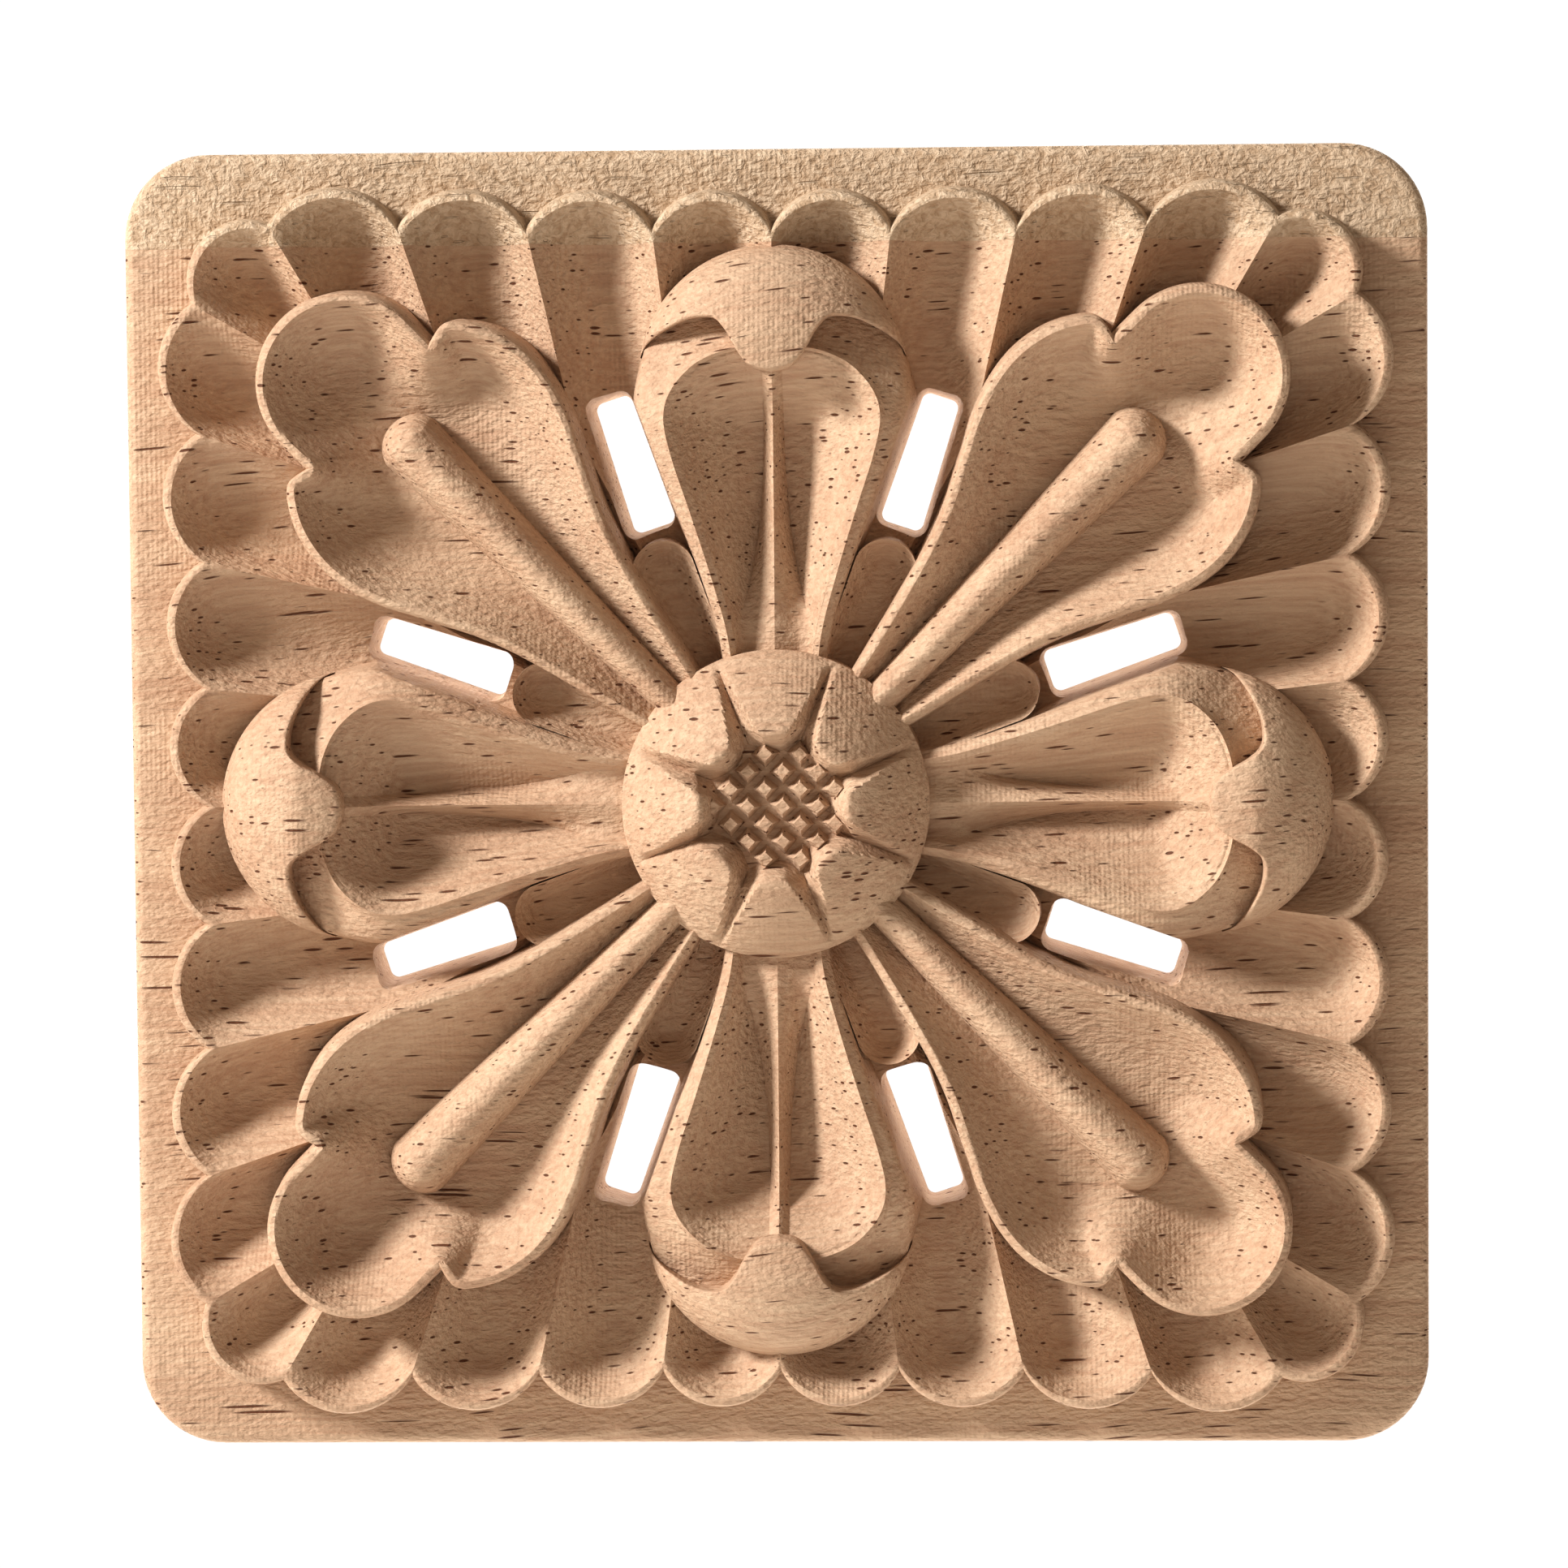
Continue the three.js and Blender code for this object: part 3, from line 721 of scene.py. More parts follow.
@dataclass
class Petal:
    """A hollow petal with a thin rib, under a tip that curls over."""

    reach: float = 33.9
    half_width: float = 8.1
    height: float = 9.8
    root_drop: float = 2.2
    hollow_depth: float = 4
    root_wall: float = 2.4
    tip_wall: float = 5.6
    rib_height: float = 1.7
    rib_tip_width: float = 0.62
    rib_flare: float = 3.4
    rib_end_rise: float = 0.6
    root_crest_share: float = 2.1
    tip_crest_share: float = 0.75
    most_foot_share: float = 0.78
    floor_power: float = 1.6
    spine_lean: float = 0.15
    rim_round: float = 0.36
    rim_bead: float = 0.26
    pocket_depth: float = 2.8
    draft: float = 0.7
    spine_end: float = 0.785
    steps: int = 8
    rib_steps: int = 7
    hollow_steps: int = 14
    band_steps: int = 9
    rim_shares: Shares = (
        (0.3, 0.18), (0.35, 0.3), (0.47, 0.41), (0.62, 0.525), (0.75, 0.62), (0.81, 0.69),
        (0.76, 0.74), (0.6, 0.785), (0.4, 0.81), (0.2, 0.82), (0, 0.822),
    )
    side_shares: Shares = (
        (0.36, 0.18), (0.42, 0.3), (0.55, 0.41), (0.74, 0.53), (0.94, 0.635), (1.04, 0.71)
    )

    def floor(self, rim: float, depth: float, inwards: np.ndarray | float) -> np.ndarray:
        """Returns the hollow's height at a share of the way from the rim down to its bottom."""
        return rim - depth * (1 - (1 - np.clip(inwards, 0, 1)) ** self.floor_power)

    def rows(self) -> np.ndarray:
        """Lays the rows that cross the petal."""
        size = np.array([self.half_width, self.reach])
        rim_line = smooth_line(self.rim_shares, self.steps) * size
        tip = on_round_end(self.half_width, self.reach, np.array([8, 28, 48, 68, 90.0]))
        edge_line = smooth_line([*(np.array(self.side_shares) * size), *tip], self.steps)
        root, spine_end = rim_line[0, 1], self.spine_end * self.reach
        spines, halves = [], []
        for i, (rim_point, edge_point) in enumerate(zip(rim_line, edge_line)):
            spine_y = max(rim_point[1] - self.spine_lean * rim_point[0], root)
            spine = np.array([0, min(spine_y, spine_end)])
            length = np.linalg.norm(rim_point - spine)
            out = (rim_point - spine) / length
            grown = (spine[1] - root) / (spine_end - root)
            rim = self.height - self.root_drop * (1 - grown) ** 2
            depth = self.hollow_depth * math.sin(math.pi * mix(0.25, 0.75, grown))
            wall = mix(self.root_wall, self.tip_wall, grown)
            crest_share = mix(self.root_crest_share, self.tip_crest_share, grown)
            crest = rim - depth + self.rib_height * crest_share
            to_rim = distance_to(rim_line, spine[None])[0] - self.rim_round
            middle = self.floor(rim, depth, to_rim / wall)
            crest = max(crest, middle + self.rib_end_rise)
            foot = self.rib_tip_width + self.rib_flare * (1 - grown) ** 3
            foot = min(foot, self.most_foot_share * length)
            angle = QUARTER * np.arange(1, self.rib_steps + 1) / self.rib_steps
            share = 1 - (1 - np.arange(1, self.hollow_steps + 1) / self.hollow_steps) ** 1.4
            away = np.concatenate((foot * np.sin(angle), mix(foot, length - self.rim_round, share)))
            ridge = mix(np.cos(angle) ** 1.4, 1 - np.sin(angle) ** 1.3, min(1.5 * grown, 1))
            on_rib = np.concatenate((ridge, np.zeros(self.hollow_steps)))
            place = spine + out * away[:, None]
            from_rim = distance_to(rim_line, place) - self.rim_round
            floor = self.floor(rim, depth, from_rim / wall)
            inside = np.column_stack((place, mix(floor, crest, on_rib)))
            bead = [*rim_point, rim + self.rim_bead]
            band = edge_point - rim_point
            wide = np.linalg.norm(band)
            pocket = min(max((i / self.steps - 4) / 3, 0), 1)
            drop = min(0.9 * wide, self.pocket_depth)
            share = mix(self.rim_round / wide, 1, np.arange(self.band_steps + 1) / self.band_steps)
            fall = mix(1 - np.sqrt(1 - share**2), share**0.8, pocket)
            outside = np.column_stack((rim_point + band * share[:, None], rim - drop * fall))
            ground = [*(edge_point + band / wide * self.draft), 0]
            halves.append(np.vstack((inside, bead, outside, ground)))
            spines.append((0, spine[1], crest))
        spines, halves = np.array(spines), np.array(halves)
        halves[-1, :, 0] = 0
        return crossing(spines, halves)

    def solid(self, shop: Workshop) -> Object:
        """Builds the four petals."""
        return shop.turn(form("petals", self.rows(), wrapped=True, ends=1), 4, 0)


@dataclass
class Curl:
    """The tip of a petal, curled over towards the boss and ending in a small tongue."""

    petal: Petal
    height: float = 12
    rise: float = 5.6
    tongue_dip: float = 0.35
    overhang: float = 0.15
    lip_round: float = 0.3
    steps: int = 8
    steps_across: int = 20
    lip_shares: Shares = (
        (0.93, 0.822), (0.8, 0.845), (0.61, 0.866), (0.43, 0.868), (0.33, 0.845),
        (0.25, 0.81), (0.15, 0.781), (0, 0.771),
    )

    def rows(self) -> np.ndarray:
        """Lays the rows that run from the lip to the petal's round end."""
        half_width = self.petal.half_width + self.overhang
        reach = self.petal.reach + self.overhang
        size = np.array([half_width, reach])
        horn = on_round_end(half_width, reach, np.array([10.0]))[0] / size
        lip = smooth_line([tuple(horn), *self.lip_shares], self.steps) * size
        angles = smooth_line([(a,) for a in (10, 17, 27, 39, 51, 62, 72, 81, 90)], self.steps)
        edge = on_round_end(half_width, reach, angles[:, 0])
        lip[-1, 0] = 0
        share = np.linspace(0, 1, self.steps_across + 1) ** 1.8
        rows = []
        for start, end in zip(lip, edge):
            place = mix(start, end, share[:, None])
            ball_y = reach - half_width
            away = np.hypot(place[:, 0], place[:, 1] - ball_y) / (1.02 * half_width)
            dip = np.clip(ball_y + 0.4 * half_width - place[:, 1], 0, None) * self.tongue_dip
            inside = np.linalg.norm(place - start, axis=1) / self.lip_round
            edge_fall = self.lip_round * (1 - np.sqrt(1 - (1 - np.clip(inside, 0, 1)) ** 2))
            ball = self.rise * (1 - np.sqrt(1 - np.clip(away, 0, 1) ** 2))
            top = self.height - ball - dip - edge_fall
            row = np.column_stack((place, top))
            foot, heel = [*start, 0], [*end, 0]
            rows.append(np.vstack((foot, row, heel)))
        rows = np.array(rows)
        return np.concatenate((rows, mirrored(rows[:-1])[::-1]))

    def solid(self, shop: Workshop) -> Object:
        """Builds the four curls."""
        return shop.turn(form("curls", self.rows(), wrapped=True, ends=2), 4, 0)


@dataclass
class Leaflet:
    """A small spoon with a round end, in the gap between a petal and a leaf."""

    root: float
    reach: float = 17.6
    half_width: float = 1.95
    end_length: float = 1.9
    height: float = 7.8
    hollow_depth: float = 2
    draft: float = 0.4
    turn_degrees: float = 25.5
    side_steps: int = 6
    end_steps: int = 10
    hollow_steps: int = 8

    def rows(self) -> np.ndarray:
        """Lays the rows that cross the leaflet."""
        round_start = self.reach - self.end_length
        floor = self.height - self.hollow_depth
        last = self.side_steps + self.end_steps
        spines, halves = [], []
        for i in range(last + 1):
            straight = min(i / self.side_steps, 1)
            angle = QUARTER * max(i - self.side_steps, 0) / self.end_steps
            half = 0 if i == last else self.half_width * mix(0.6, 1, straight) * math.cos(angle)
            y = mix(self.root, round_start, straight) + self.end_length * math.sin(angle)
            spine_y = min(y, round_start)
            share = np.arange(1, self.hollow_steps + 1) / self.hollow_steps
            x, along = half * share, mix(spine_y, y, share)
            top = np.column_stack((x, along, mix(floor, self.height, share**2.2)))
            foot = [half, y + self.draft * math.sin(angle), 0]
            halves.append(np.vstack((top, foot)))
            spines.append((0, spine_y, floor))
        return crossing(np.array(spines), np.array(halves))

    def solids(self, shop: Workshop) -> list[Object]:
        """Builds the leaflets on both sides of the petals.

        Args:
            shop: The trees that repeat a form, and the finish.

        Returns:
            The four on the right and the four on the left.
        """
        right = form("leaflets_right", self.rows(), wrapped=True, ends=1)
        left = form("leaflets_left", self.rows(), wrapped=True, ends=1)
        return [shop.turn(right, 4, self.turn_degrees), shop.turn(left, 4, -self.turn_degrees)]


@dataclass
class Boss:
    """The dome of sepals in the middle, round a sunken eye full of studs."""

    radius: float = 9.4
    height: float = 12.3
    edge_height: float = 8.6
    draft: float = 0.2
    sepals: int = 8
    eye_radius: float = 4.2
    eye_point_radius: float = 5
    eye_depth: float = 2.3
    eye_wall_run: float = 0.9
    lip_fall: float = 0.3
    lip_share: float = 0.08
    slope_power: float = 1.5
    groove_reach: float = 9.1
    groove_depth: float = 1.5
    groove_width: float = 1.0
    steps_across: int = 30
    steps_out: int = 20
    stud_pitch: float = 1.5
    stud_top_share: float = 0.42
    stud_base_share: float = 0.97
    stud_height: float = 1.15

    def rows(self) -> np.ndarray:
        """Lays the lines of one sepal, each running from the eye down to the boss's foot."""
        sector = 2 * math.pi / self.sepals
        eye_floor = self.height - self.eye_depth
        lines = []
        for i in range(self.steps_across + 1):
            share = i / self.steps_across
            angle = sector * (0.5 + share)
            from_middle = abs(2 * share - 1)
            eye = mix(self.eye_radius, self.eye_point_radius, from_middle**2)
            reach = np.linspace(0, 1, self.steps_out + 1) ** 1.7
            radius = mix(eye, self.radius, reach)
            from_eye = np.clip((radius - self.eye_radius) / (self.radius - self.eye_radius), 0, 1)
            lip = self.lip_fall * np.clip(1 - reach / self.lip_share, 0, 1) ** 2
            fade = np.clip((self.groove_reach - radius) / (self.groove_reach - eye), 0, 1)
            beside = radius * sector / 2 * (1 - from_middle)
            width = self.groove_width * mix(0.3, 1, fade**2)
            wall = np.clip(1 - beside / width, 0, 1)
            groove = self.groove_depth * fade**0.6 * wall**0.85
            dome = 1 - from_eye**self.slope_power
            top = mix(self.edge_height, self.height, dome) - lip - groove
            inside = [(0, eye_floor), (eye - self.eye_wall_run, eye_floor)]
            line = [*inside, *zip(radius, top), (self.radius + self.draft, 0), (0, 0)]
            lines.append([(r * math.sin(angle), r * math.cos(angle), z) for r, z in line])
        return np.array(lines)

    def stud(self) -> Object:
        """Builds one stud, a small flat-topped pyramid."""
        floor = self.height - self.eye_depth
        half = self.stud_pitch / 2
        square = np.array([(-1, -1), (1, -1), (1, 1), (-1, 1)])
        rings = []
        for size, z in ((self.stud_base_share, -0.3), (self.stud_top_share, self.stud_height)):
            rings.append(np.column_stack((square * half * size, np.full(4, floor + z))))
        return form("studs", np.array(rings), wrapped=True, ends=2)

    def solids(self, shop: Workshop) -> list[Object]:
        """Builds the boss.

        Args:
            shop: The trees that repeat a form, and the finish.

        Returns:
            The ring of sepals and the lattice of studs.
        """
        dome = shop.turn(form("boss", self.rows(), wrapped=False, ends=0), self.sepals, 0)
        studs = self.stud()
        half_count = math.ceil(self.eye_point_radius / self.stud_pitch)
        count = 2 * half_count + 1
        values = {
            "Points a side": count,
            "Side": (count - 1) * self.stud_pitch * MM,
            "Field radius": (self.eye_radius - 0.2) * MM,
            "Shift": (0.25 * self.stud_pitch * MM, 0.25 * self.stud_pitch * MM, 0),
            "Finish": shop.finish,
        }
        run_tree(studs, shop.lattice, values)
        LOG.info("studs: %d faces", len(studs.data.polygons))
        return [dome, studs]


@dataclass
class CarvedBlock:
    """The whole block, carved from one board."""

    crisp_degrees: float = 32

    def carve(self, shop: Workshop) -> Object:
        """Builds every form and makes one solid of them.

        Args:
            shop: The trees that repeat a form, and the finish.

        Returns:
            The finished piece.
        """
        plate = Plate()
        petal = Petal()
        leaf = Leaf()
        boss = Boss()
        block = plate.solid()
        block.data.materials.append(shop.finish)
        border = Border(plate)
        combine(block, border.seat(shop), Cut.REMOVE)
        combine(block, border.solid(shop), Cut.JOIN)
        joined = [leaf.solid(shop), petal.solid(shop), Curl(petal).solid(shop)]
        joined += Leaflet(root=boss.radius - 2).solids(shop)
        joined += boss.solids(shop)
        for thing in joined:
            combine(block, thing, Cut.JOIN)
        for cutter in Slot().solids(shop):
            combine(block, cutter, Cut.REMOVE)
        return self.dress(block, shop)

    def dress(self, block: Object, shop: Workshop) -> Object:
        """Smooths the block's curved faces, keeps its crisp edges and gives it its finish.

        Args:
            block: The solid.
            shop: The finish.

        Returns:
            The same object, named as the finished piece.
        """
        mesh = block.data
        face_out(mesh)
        mesh.materials.clear()
        mesh.materials.append(shop.finish)
        mesh.shade_smooth()
        mesh.set_sharp_from_angle(angle=math.radians(self.crisp_degrees))
        block.name = "carved_block"
        LOG.info("carved_block: %d triangles", len(mesh.polygons))
        return block


def linear(hex_colour: str) -> tuple[float, float, float, float]:
    """Turns an sRGB hex colour into a linear one.

    Args:
        hex_colour: Six hex digits.

    Returns:
        Red, green, blue and an alpha of 1.
    """
    values = [int(hex_colour[i : i + 2], 16) / 255 for i in (0, 2, 4)]
    red, green, blue = (v / 12.92 if v <= 0.04045 else ((v + 0.055) / 1.055) ** 2.4 for v in values)
    return red, green, blue, 1


@dataclass(frozen=True)
class MachineCarvedRubberwood:
    """Rubberwood, bare, as a carving cutter leaves it.

    A pale, warm tan wood with open pores: short dark dashes along the grain where a face lies
    along it and dots where a face is turned across it. The cutter's passes leave fine parallel
    lines, and torn fibres make every face a little rough and dull.
    """

    sapwood: str = "c9ad92"
    late_wood: str = "b39177"
    pore: str = "66402c"
    strip: str = "cdb69c"
    speckle: str = "b2977b"
    seam_height: float = 34.2
    grain_tilt_degrees: float = 2.5
    wander_size: float = 20
    wander_reach: float = 2.5
    pore_length: float = 6.5
    pore_spacing: float = 0.32
    pore_depth_spacing: float = 0.6
    least_pore: float = 0.01
    largest_pore: float = 0.33
    fibre_length: float = 12
    fibre_width: float = 0.3
    band_length: float = 60
    band_width: float = 3.5
    grit_length: float = 0.6
    grit_width: float = 0.28
    pass_width: float = 0.3
    patch_scale: float = 0.12
    relief_depth: float = 0.3
    fibre_relief: float = 0.25
    grit_relief: float = 0.75
    pore_relief: float = -0.4
    pass_relief: float = 0.06
    torn_relief: float = 0.7
    roughness: float = 0.52
    gloss: float = 0.12

    def material(self) -> Material:
        """Builds the material."""
        made = bpy.data.materials.new("machine_carved_rubberwood")
        made.use_nodes = True
        tree = made.node_tree
        shader = tree.nodes["Principled BSDF"]
        place = add_node(tree, "ShaderNodeTexCoord").outputs["Object"]
        tilt = (0, math.radians(self.grain_tilt_degrees), 0)
        turned = {"Vector": place, "Rotation": tilt, "Scale": (1 / MM,) * 3}
        in_mm = add_node(tree, "ShaderNodeMapping", links=turned)
        wander = self.wander(tree, in_mm)
        fibres = self.stretched_noise(tree, wander, self.fibre_length, self.fibre_width, 3)
        bands = self.stretched_noise(tree, wander, self.band_length, self.band_width, 2)
        grit = self.stretched_noise(tree, in_mm, self.grit_length, self.grit_width, 4)
        pores = self.pores(tree, wander)
        passes = self.passes(tree, place)
        height = add_node(tree, "ShaderNodeSeparateXYZ", links={0: place}).outputs["Z"]
        seam = {0: height, 1: self.seam_height * MM}
        above = add_node(tree, "ShaderNodeMath", {"operation": "GREATER_THAN"}, seam)
        rough = {"Vector": in_mm, "Scale": 1.9, "Detail": 3, "Roughness": 0.6, "Distortion": 0.8}
        torn = add_node(tree, "ShaderNodeTexNoise", links=rough).outputs["Fac"]
        peel = add_node(tree, "ShaderNodeMath", {"operation": "MULTIPLY"}, {0: torn, 1: above})
        colour = self.colour(tree, above, (fibres, bands, torn, pores))
        tree.links.new(colour, shader.inputs["Base Color"])
        self.relief(tree, shader, (fibres, grit, pores, passes, peel))
        shader.inputs["Roughness"].default_value = self.roughness
        shader.inputs["Specular IOR Level"].default_value = self.gloss
        return made

    def wander(self, tree: NodeTree, in_mm: Node) -> Node:
        """Lets the grain wander a little from its straight line.

        Args:
            tree: The material's tree.
            in_mm: The node that gives the place in millimetres.

        Returns:
            A node that gives the shifted place.
        """
        slow = {"Vector": in_mm, "Scale": 1 / self.wander_size, "Detail": 1}
        drift = add_node(tree, "ShaderNodeTexNoise", links=slow).outputs["Color"]
        moved = {0: drift, 1: (self.wander_reach,) * 3, 2: in_mm}
        return add_node(tree, "ShaderNodeVectorMath", {"operation": "MULTIPLY_ADD"}, moved)

    def stretched_noise(
        self, tree: NodeTree, place: Node, length: float, width: float, detail: float
    ) -> NodeSocket:
        """Makes a noise drawn out along the grain.

        Args:
            tree: The material's tree.
            place: The node that gives the place in millimetres.
            length: How long its features are, in millimetres.
            width: How wide they are, in millimetres.
            detail: How many finer layers it has.

        Returns:
            The noise, about 0.5 in the middle.
        """
        drawn_out = {0: place, 1: (1 / length, 1 / width, 1 / width)}
        scaled = add_node(tree, "ShaderNodeVectorMath", {"operation": "MULTIPLY"}, drawn_out)
        links = {"Vector": scaled, "Scale": 1, "Detail": detail}
        return add_node(tree, "ShaderNodeTexNoise", links=links).outputs["Fac"]

    def pores(self, tree: NodeTree, place: Node) -> Node:
        """Makes the pores: long thin vessels along the grain, at random places.

        Args:
            tree: The material's tree.
            place: The node that gives the place in millimetres.

        Returns:
            A node that gives 1 inside a pore and 0 outside.
        """
        spacing = (1 / self.pore_length, 1 / self.pore_depth_spacing, 1 / self.pore_spacing)
        drawn_out = {0: place, 1: spacing}
        scaled = add_node(tree, "ShaderNodeVectorMath", {"operation": "MULTIPLY"}, drawn_out)
        cells = add_node(tree, "ShaderNodeTexVoronoi", links={"Vector": scaled, "Scale": 1})
        sizes = {
            "Value": cells.outputs["Color"],
            "From Min": 0.1,
            "From Max": 1.0,
            "To Min": self.least_pore,
            "To Max": self.largest_pore,
        }
        size = add_node(tree, "ShaderNodeMapRange", links=sizes)
        depth = {0: size, 1: cells.outputs["Distance"]}
        inside = add_node(tree, "ShaderNodeMath", {"operation": "SUBTRACT"}, depth)
        soft = {"Value": inside, "From Min": 0, "From Max": 0.1}
        return add_node(tree, "ShaderNodeMapRange", links=soft)

    def passes(self, tree: NodeTree, place: NodeSocket) -> Node:
        """Makes the fine upright lines that the cutter's passes leave in some places.

        In the photo most are 0.25 to 0.3 mm apart and some finer. They are drawn at the coarse
        end of that, so that they show at all.

        Args:
            tree: The material's tree.
            place: The place in metres.

        Returns:
            A node that gives the lines, 0 where there are none.
        """
        upright = {"wave_type": "BANDS", "bands_direction": "X", "wave_profile": "SIN"}
        scale = 2 * math.pi / (WAVE_TURNS * self.pass_width * MM)
        lines = {"Vector": place, "Scale": scale, "Distortion": 0.8}
        wave = add_node(tree, "ShaderNodeTexWave", upright, lines).outputs["Fac"]
        spots = {"Vector": place, "Scale": self.patch_scale / MM, "Detail": 1}
        patches = add_node(tree, "ShaderNodeTexNoise", links=spots).outputs["Fac"]
        some = {"Value": patches, "From Min": 0.46, "From Max": 0.68}
        strong = add_node(tree, "ShaderNodeMapRange", links=some)
        return add_node(tree, "ShaderNodeMath", {"operation": "MULTIPLY"}, {0: wave, 1: strong})

    def colour(self, tree: NodeTree, above: Node, patterns: tuple) -> NodeSocket:
        """Mixes the wood's colours.

        Args:
            tree: The material's tree.
            above: The node that gives 1 above the glue seam, 0 below it.
            patterns: The fibres, the bands, the torn grain and the pores.

        Returns:
            The colour.
        """
        fibres, bands, torn, pores = patterns
        tones = {0: bands, 1: 0.7, 2: fibres}
        tone = add_node(tree, "ShaderNodeMath", {"operation": "MULTIPLY_ADD"}, tones)
        late = {"Value": tone, "From Min": 0.6, "From Max": 1.1}
        share = add_node(tree, "ShaderNodeMapRange", links=late)
        wood = self.blend(tree, share, linear(self.late_wood), linear(self.sapwood))
        spots = {"Value": torn, "From Min": 0.35, "From Max": 0.6}
        rough = add_node(tree, "ShaderNodeMapRange", links=spots)
        strip = self.blend(tree, rough, linear(self.speckle), linear(self.strip))
        below = {"operation": "SUBTRACT", "use_clamp": True}
        shown = add_node(tree, "ShaderNodeMath", below, {0: pores, 1: above})
        board = self.blend(tree, above, wood, strip)
        return self.blend(tree, shown, board, linear(self.pore))

    def blend(self, tree: NodeTree, share: object, low: object, high: object) -> NodeSocket:
        """Mixes two colours by a share."""
        settings = {"data_type": "RGBA"}
        return add_node(tree, "ShaderNodeMix", settings, {0: share, 6: low, 7: high}).outputs[2]

    def relief(self, tree: NodeTree, shader: Node, patterns: tuple) -> None:
        """Makes the surface rough by fibres, torn grain, pores and the cutter's passes.

        Args:
            tree: The material's tree.
            shader: The material's shader.
            patterns: The fibres, the grit, the pores, the passes and the torn grain.
        """
        woody = (self.fibre_relief, self.grit_relief, self.pore_relief)
        height = 0.0
        for pattern, share in zip(patterns, (*woody, self.pass_relief, self.torn_relief)):
            links = {0: pattern, 1: share, 2: height}
            height = add_node(tree, "ShaderNodeMath", {"operation": "MULTIPLY_ADD"}, links)
        rise = {"Strength": 1.0, "Distance": self.relief_depth * MM, "Height": height}
        bump = add_node(tree, "ShaderNodeBump", links=rise)
        tree.links.new(bump.outputs[0], shader.inputs["Normal"])


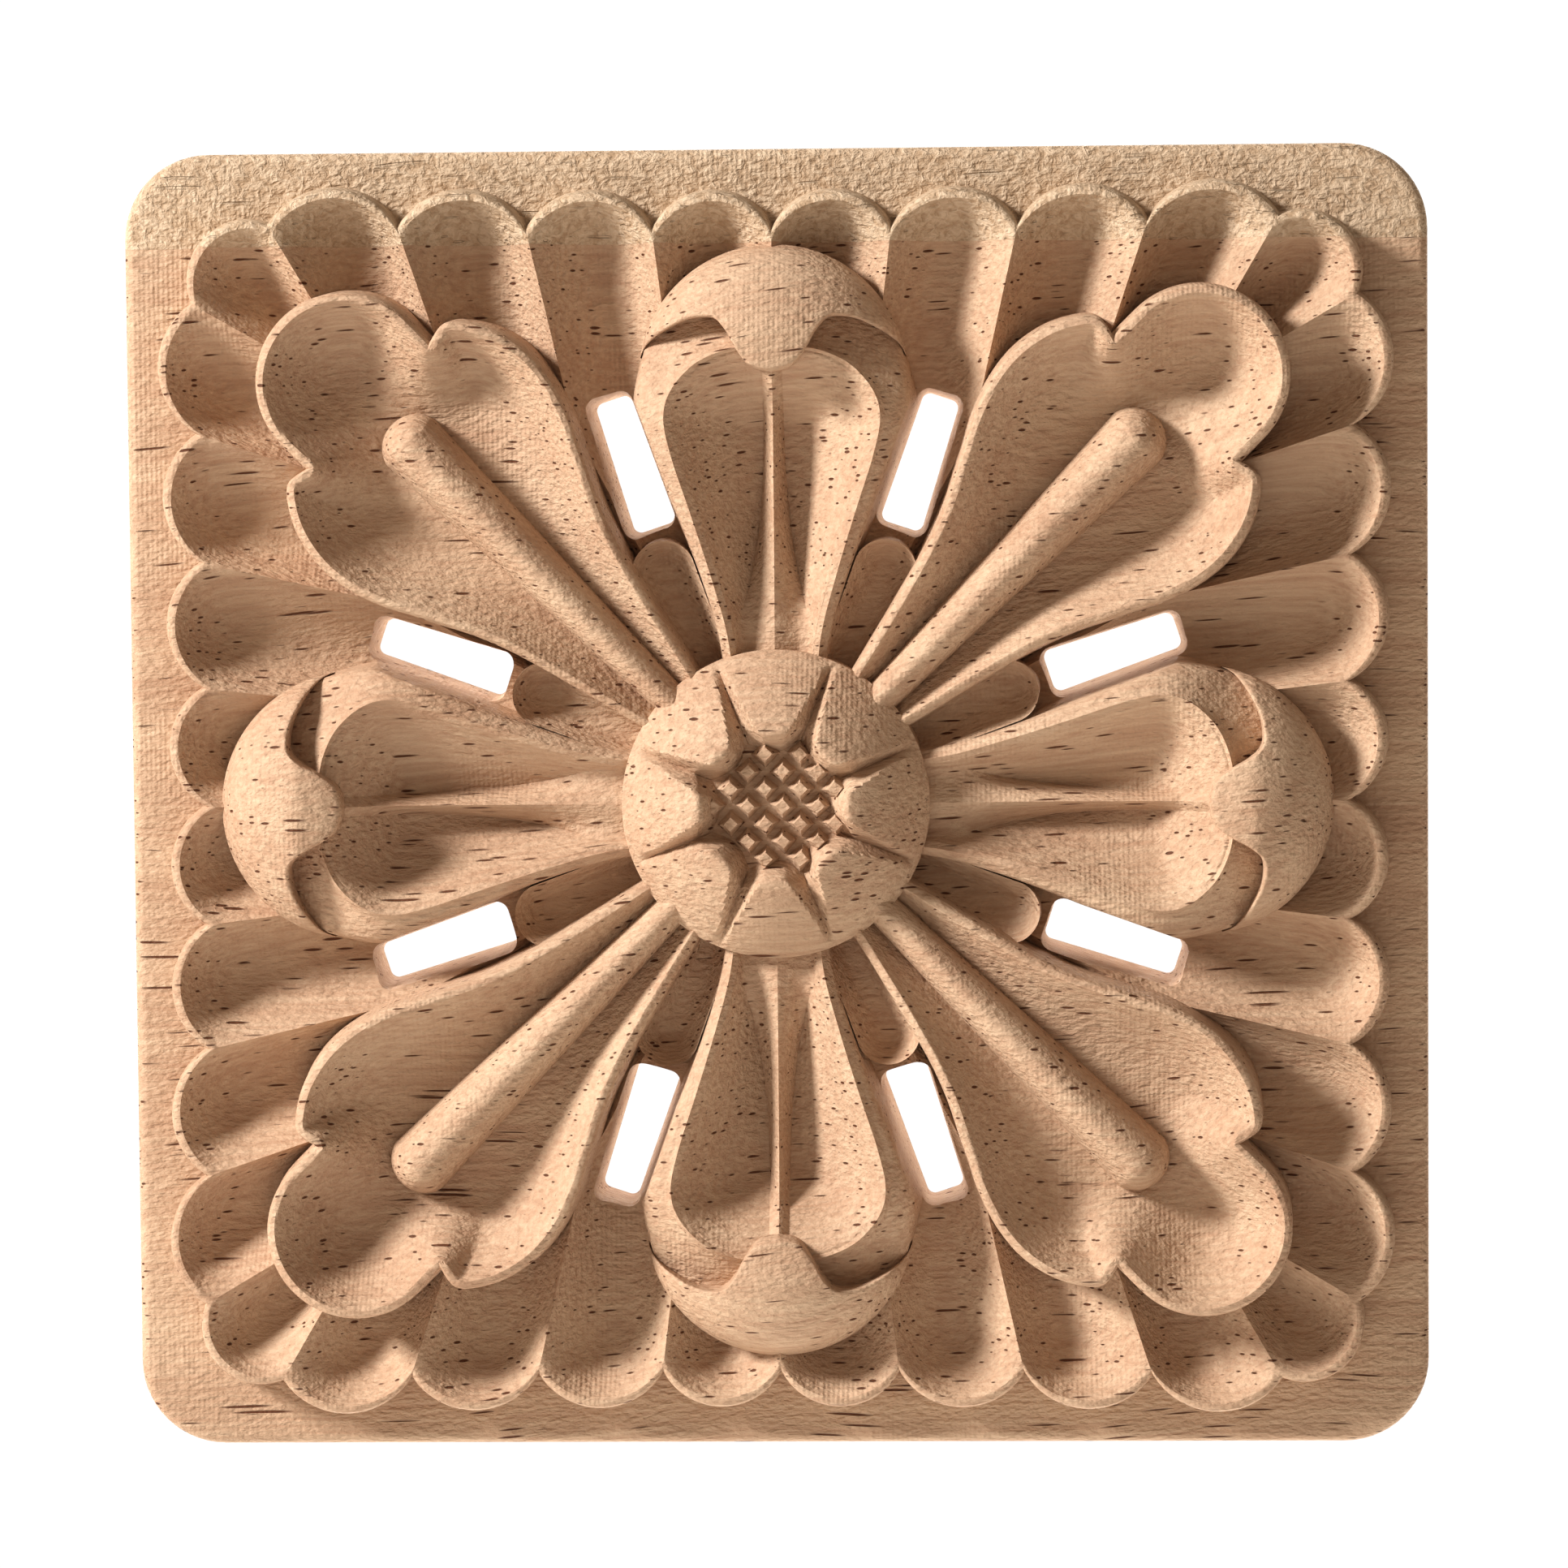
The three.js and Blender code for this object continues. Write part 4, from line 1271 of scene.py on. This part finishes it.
@dataclass(frozen=True)
class Studio:
    """A plain pale floor, a soft key light from the upper left and a white surround."""

    floor_drop: float = 0.3
    floor_side: float = 2
    key_distance: float = 0.8
    key_turn_degrees: float = 150
    key_lift_degrees: float = 24
    key_side: float = 0.16
    key_power: float = 10.8
    back_distance: float = 0.3
    back_side: float = 0.6
    back_power: float = 10
    fill: float = 0.37
    exposure: float = 0.08
    gamma: float = 0.89
    white: str = "ffffff"
    warm: str = "fbead8"
    pale: str = "e9e6e1"
    floor_roughness: float = 0.9
    sensor: float = 36
    lens: float = 121.34
    nearest: float = 0.01
    camera_place: tuple[float, float, float] = (0.012, -0.33, 0.02)
    camera_turn_degrees: tuple[float, float, float] = (3.349, -2.031, 0.422)

    def build(self) -> None:
        """Builds the floor, the lights, the surround and the camera."""
        self.floor()
        turn, lift = math.radians(self.key_turn_degrees), math.radians(self.key_lift_degrees)
        towards = Vector((math.cos(turn), 0, math.sin(turn))) * math.cos(lift)
        towards.y = -math.sin(lift)
        self.light("key", self.key_power, self.key_side, towards * self.key_distance)
        behind = Vector((0, self.back_distance, 0))
        self.light("backlight", self.back_power, self.back_side, behind).visible_glossy = False
        self.surround()
        self.camera()
        view = bpy.context.scene.view_settings
        view.view_transform = "Standard"
        view.exposure, view.gamma = self.exposure, self.gamma

    def floor(self) -> None:
        """Lays the floor well below the block."""
        half, z = self.floor_side / 2, -self.floor_drop
        mesh = bpy.data.meshes.new("floor")
        corners = [(-half, -half, z), (half, -half, z), (half, half, z), (-half, half, z)]
        mesh.from_pydata(corners, [], [(0, 1, 2, 3)])
        paint = bpy.data.materials.new("pale_studio_floor")
        paint.use_nodes = True
        shader = paint.node_tree.nodes["Principled BSDF"]
        shader.inputs["Base Color"].default_value = linear(self.pale)
        shader.inputs["Roughness"].default_value = self.floor_roughness
        mesh.materials.append(paint)
        made = bpy.data.objects.new("floor", mesh)
        bpy.context.scene.collection.objects.link(made)

    def light(self, name: str, power: float, side: float, place: Vector) -> Object:
        """Sets up a soft square light that points at the block.

        Args:
            name: The light's name.
            power: Its power in watts.
            side: The length of its side.
            place: Where it stands.

        Returns:
            The light.
        """
        data = bpy.data.lights.new(name, "AREA")
        data.energy = power
        data.size = side
        lamp = bpy.data.objects.new(name, data)
        lamp.location = place
        lamp.rotation_euler = (-place).to_track_quat("-Z", "Y").to_euler()
        bpy.context.scene.collection.objects.link(lamp)
        return lamp

    def surround(self) -> None:
        """Makes the surround white for the camera and a soft fill light for the block."""
        world = bpy.data.worlds.new("white_surround")
        bpy.context.scene.world = world
        world.use_nodes = True
        tree = world.node_tree
        seen = add_node(tree, "ShaderNodeLightPath").outputs["Is Camera Ray"]
        shown = {"Value": seen, "To Min": self.fill, "To Max": 1.0}
        strength = add_node(tree, "ShaderNodeMapRange", links=shown)
        tints = {0: seen, 6: linear(self.warm), 7: linear(self.white)}
        tint = add_node(tree, "ShaderNodeMix", {"data_type": "RGBA"}, tints)
        background = tree.nodes["Background"]
        tree.links.new(tint.outputs[2], background.inputs["Color"])
        tree.links.new(strength.outputs[0], background.inputs["Strength"])

    def camera(self) -> None:
        """Sets the camera a little to the right of the block's middle and above it."""
        data = bpy.data.cameras.new("camera")
        data.sensor_width = self.sensor
        data.lens = self.lens
        data.clip_start = self.nearest
        made = bpy.data.objects.new("camera", data)
        turn = Vector([math.radians(a) for a in self.camera_turn_degrees])
        aim = Matrix.Rotation(QUARTER, 3, "X") @ Matrix.Rotation(turn.length, 3, turn).transposed()
        made.matrix_world = Matrix.Translation(self.camera_place) @ aim.to_4x4()
        bpy.context.scene.collection.objects.link(made)
        bpy.context.scene.camera = made


def main() -> None:
    """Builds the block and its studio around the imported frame."""
    logging.basicConfig(level=logging.INFO, format="%(name)s: %(message)s")
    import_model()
    shop = Workshop(turned_copies_tree(), lattice_tree(), MachineCarvedRubberwood().material())
    block = CarvedBlock().carve(shop)
    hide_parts("carved_corner_block")
    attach(block, "root")
    Studio().build()


if __name__ == "__main__":
    main()
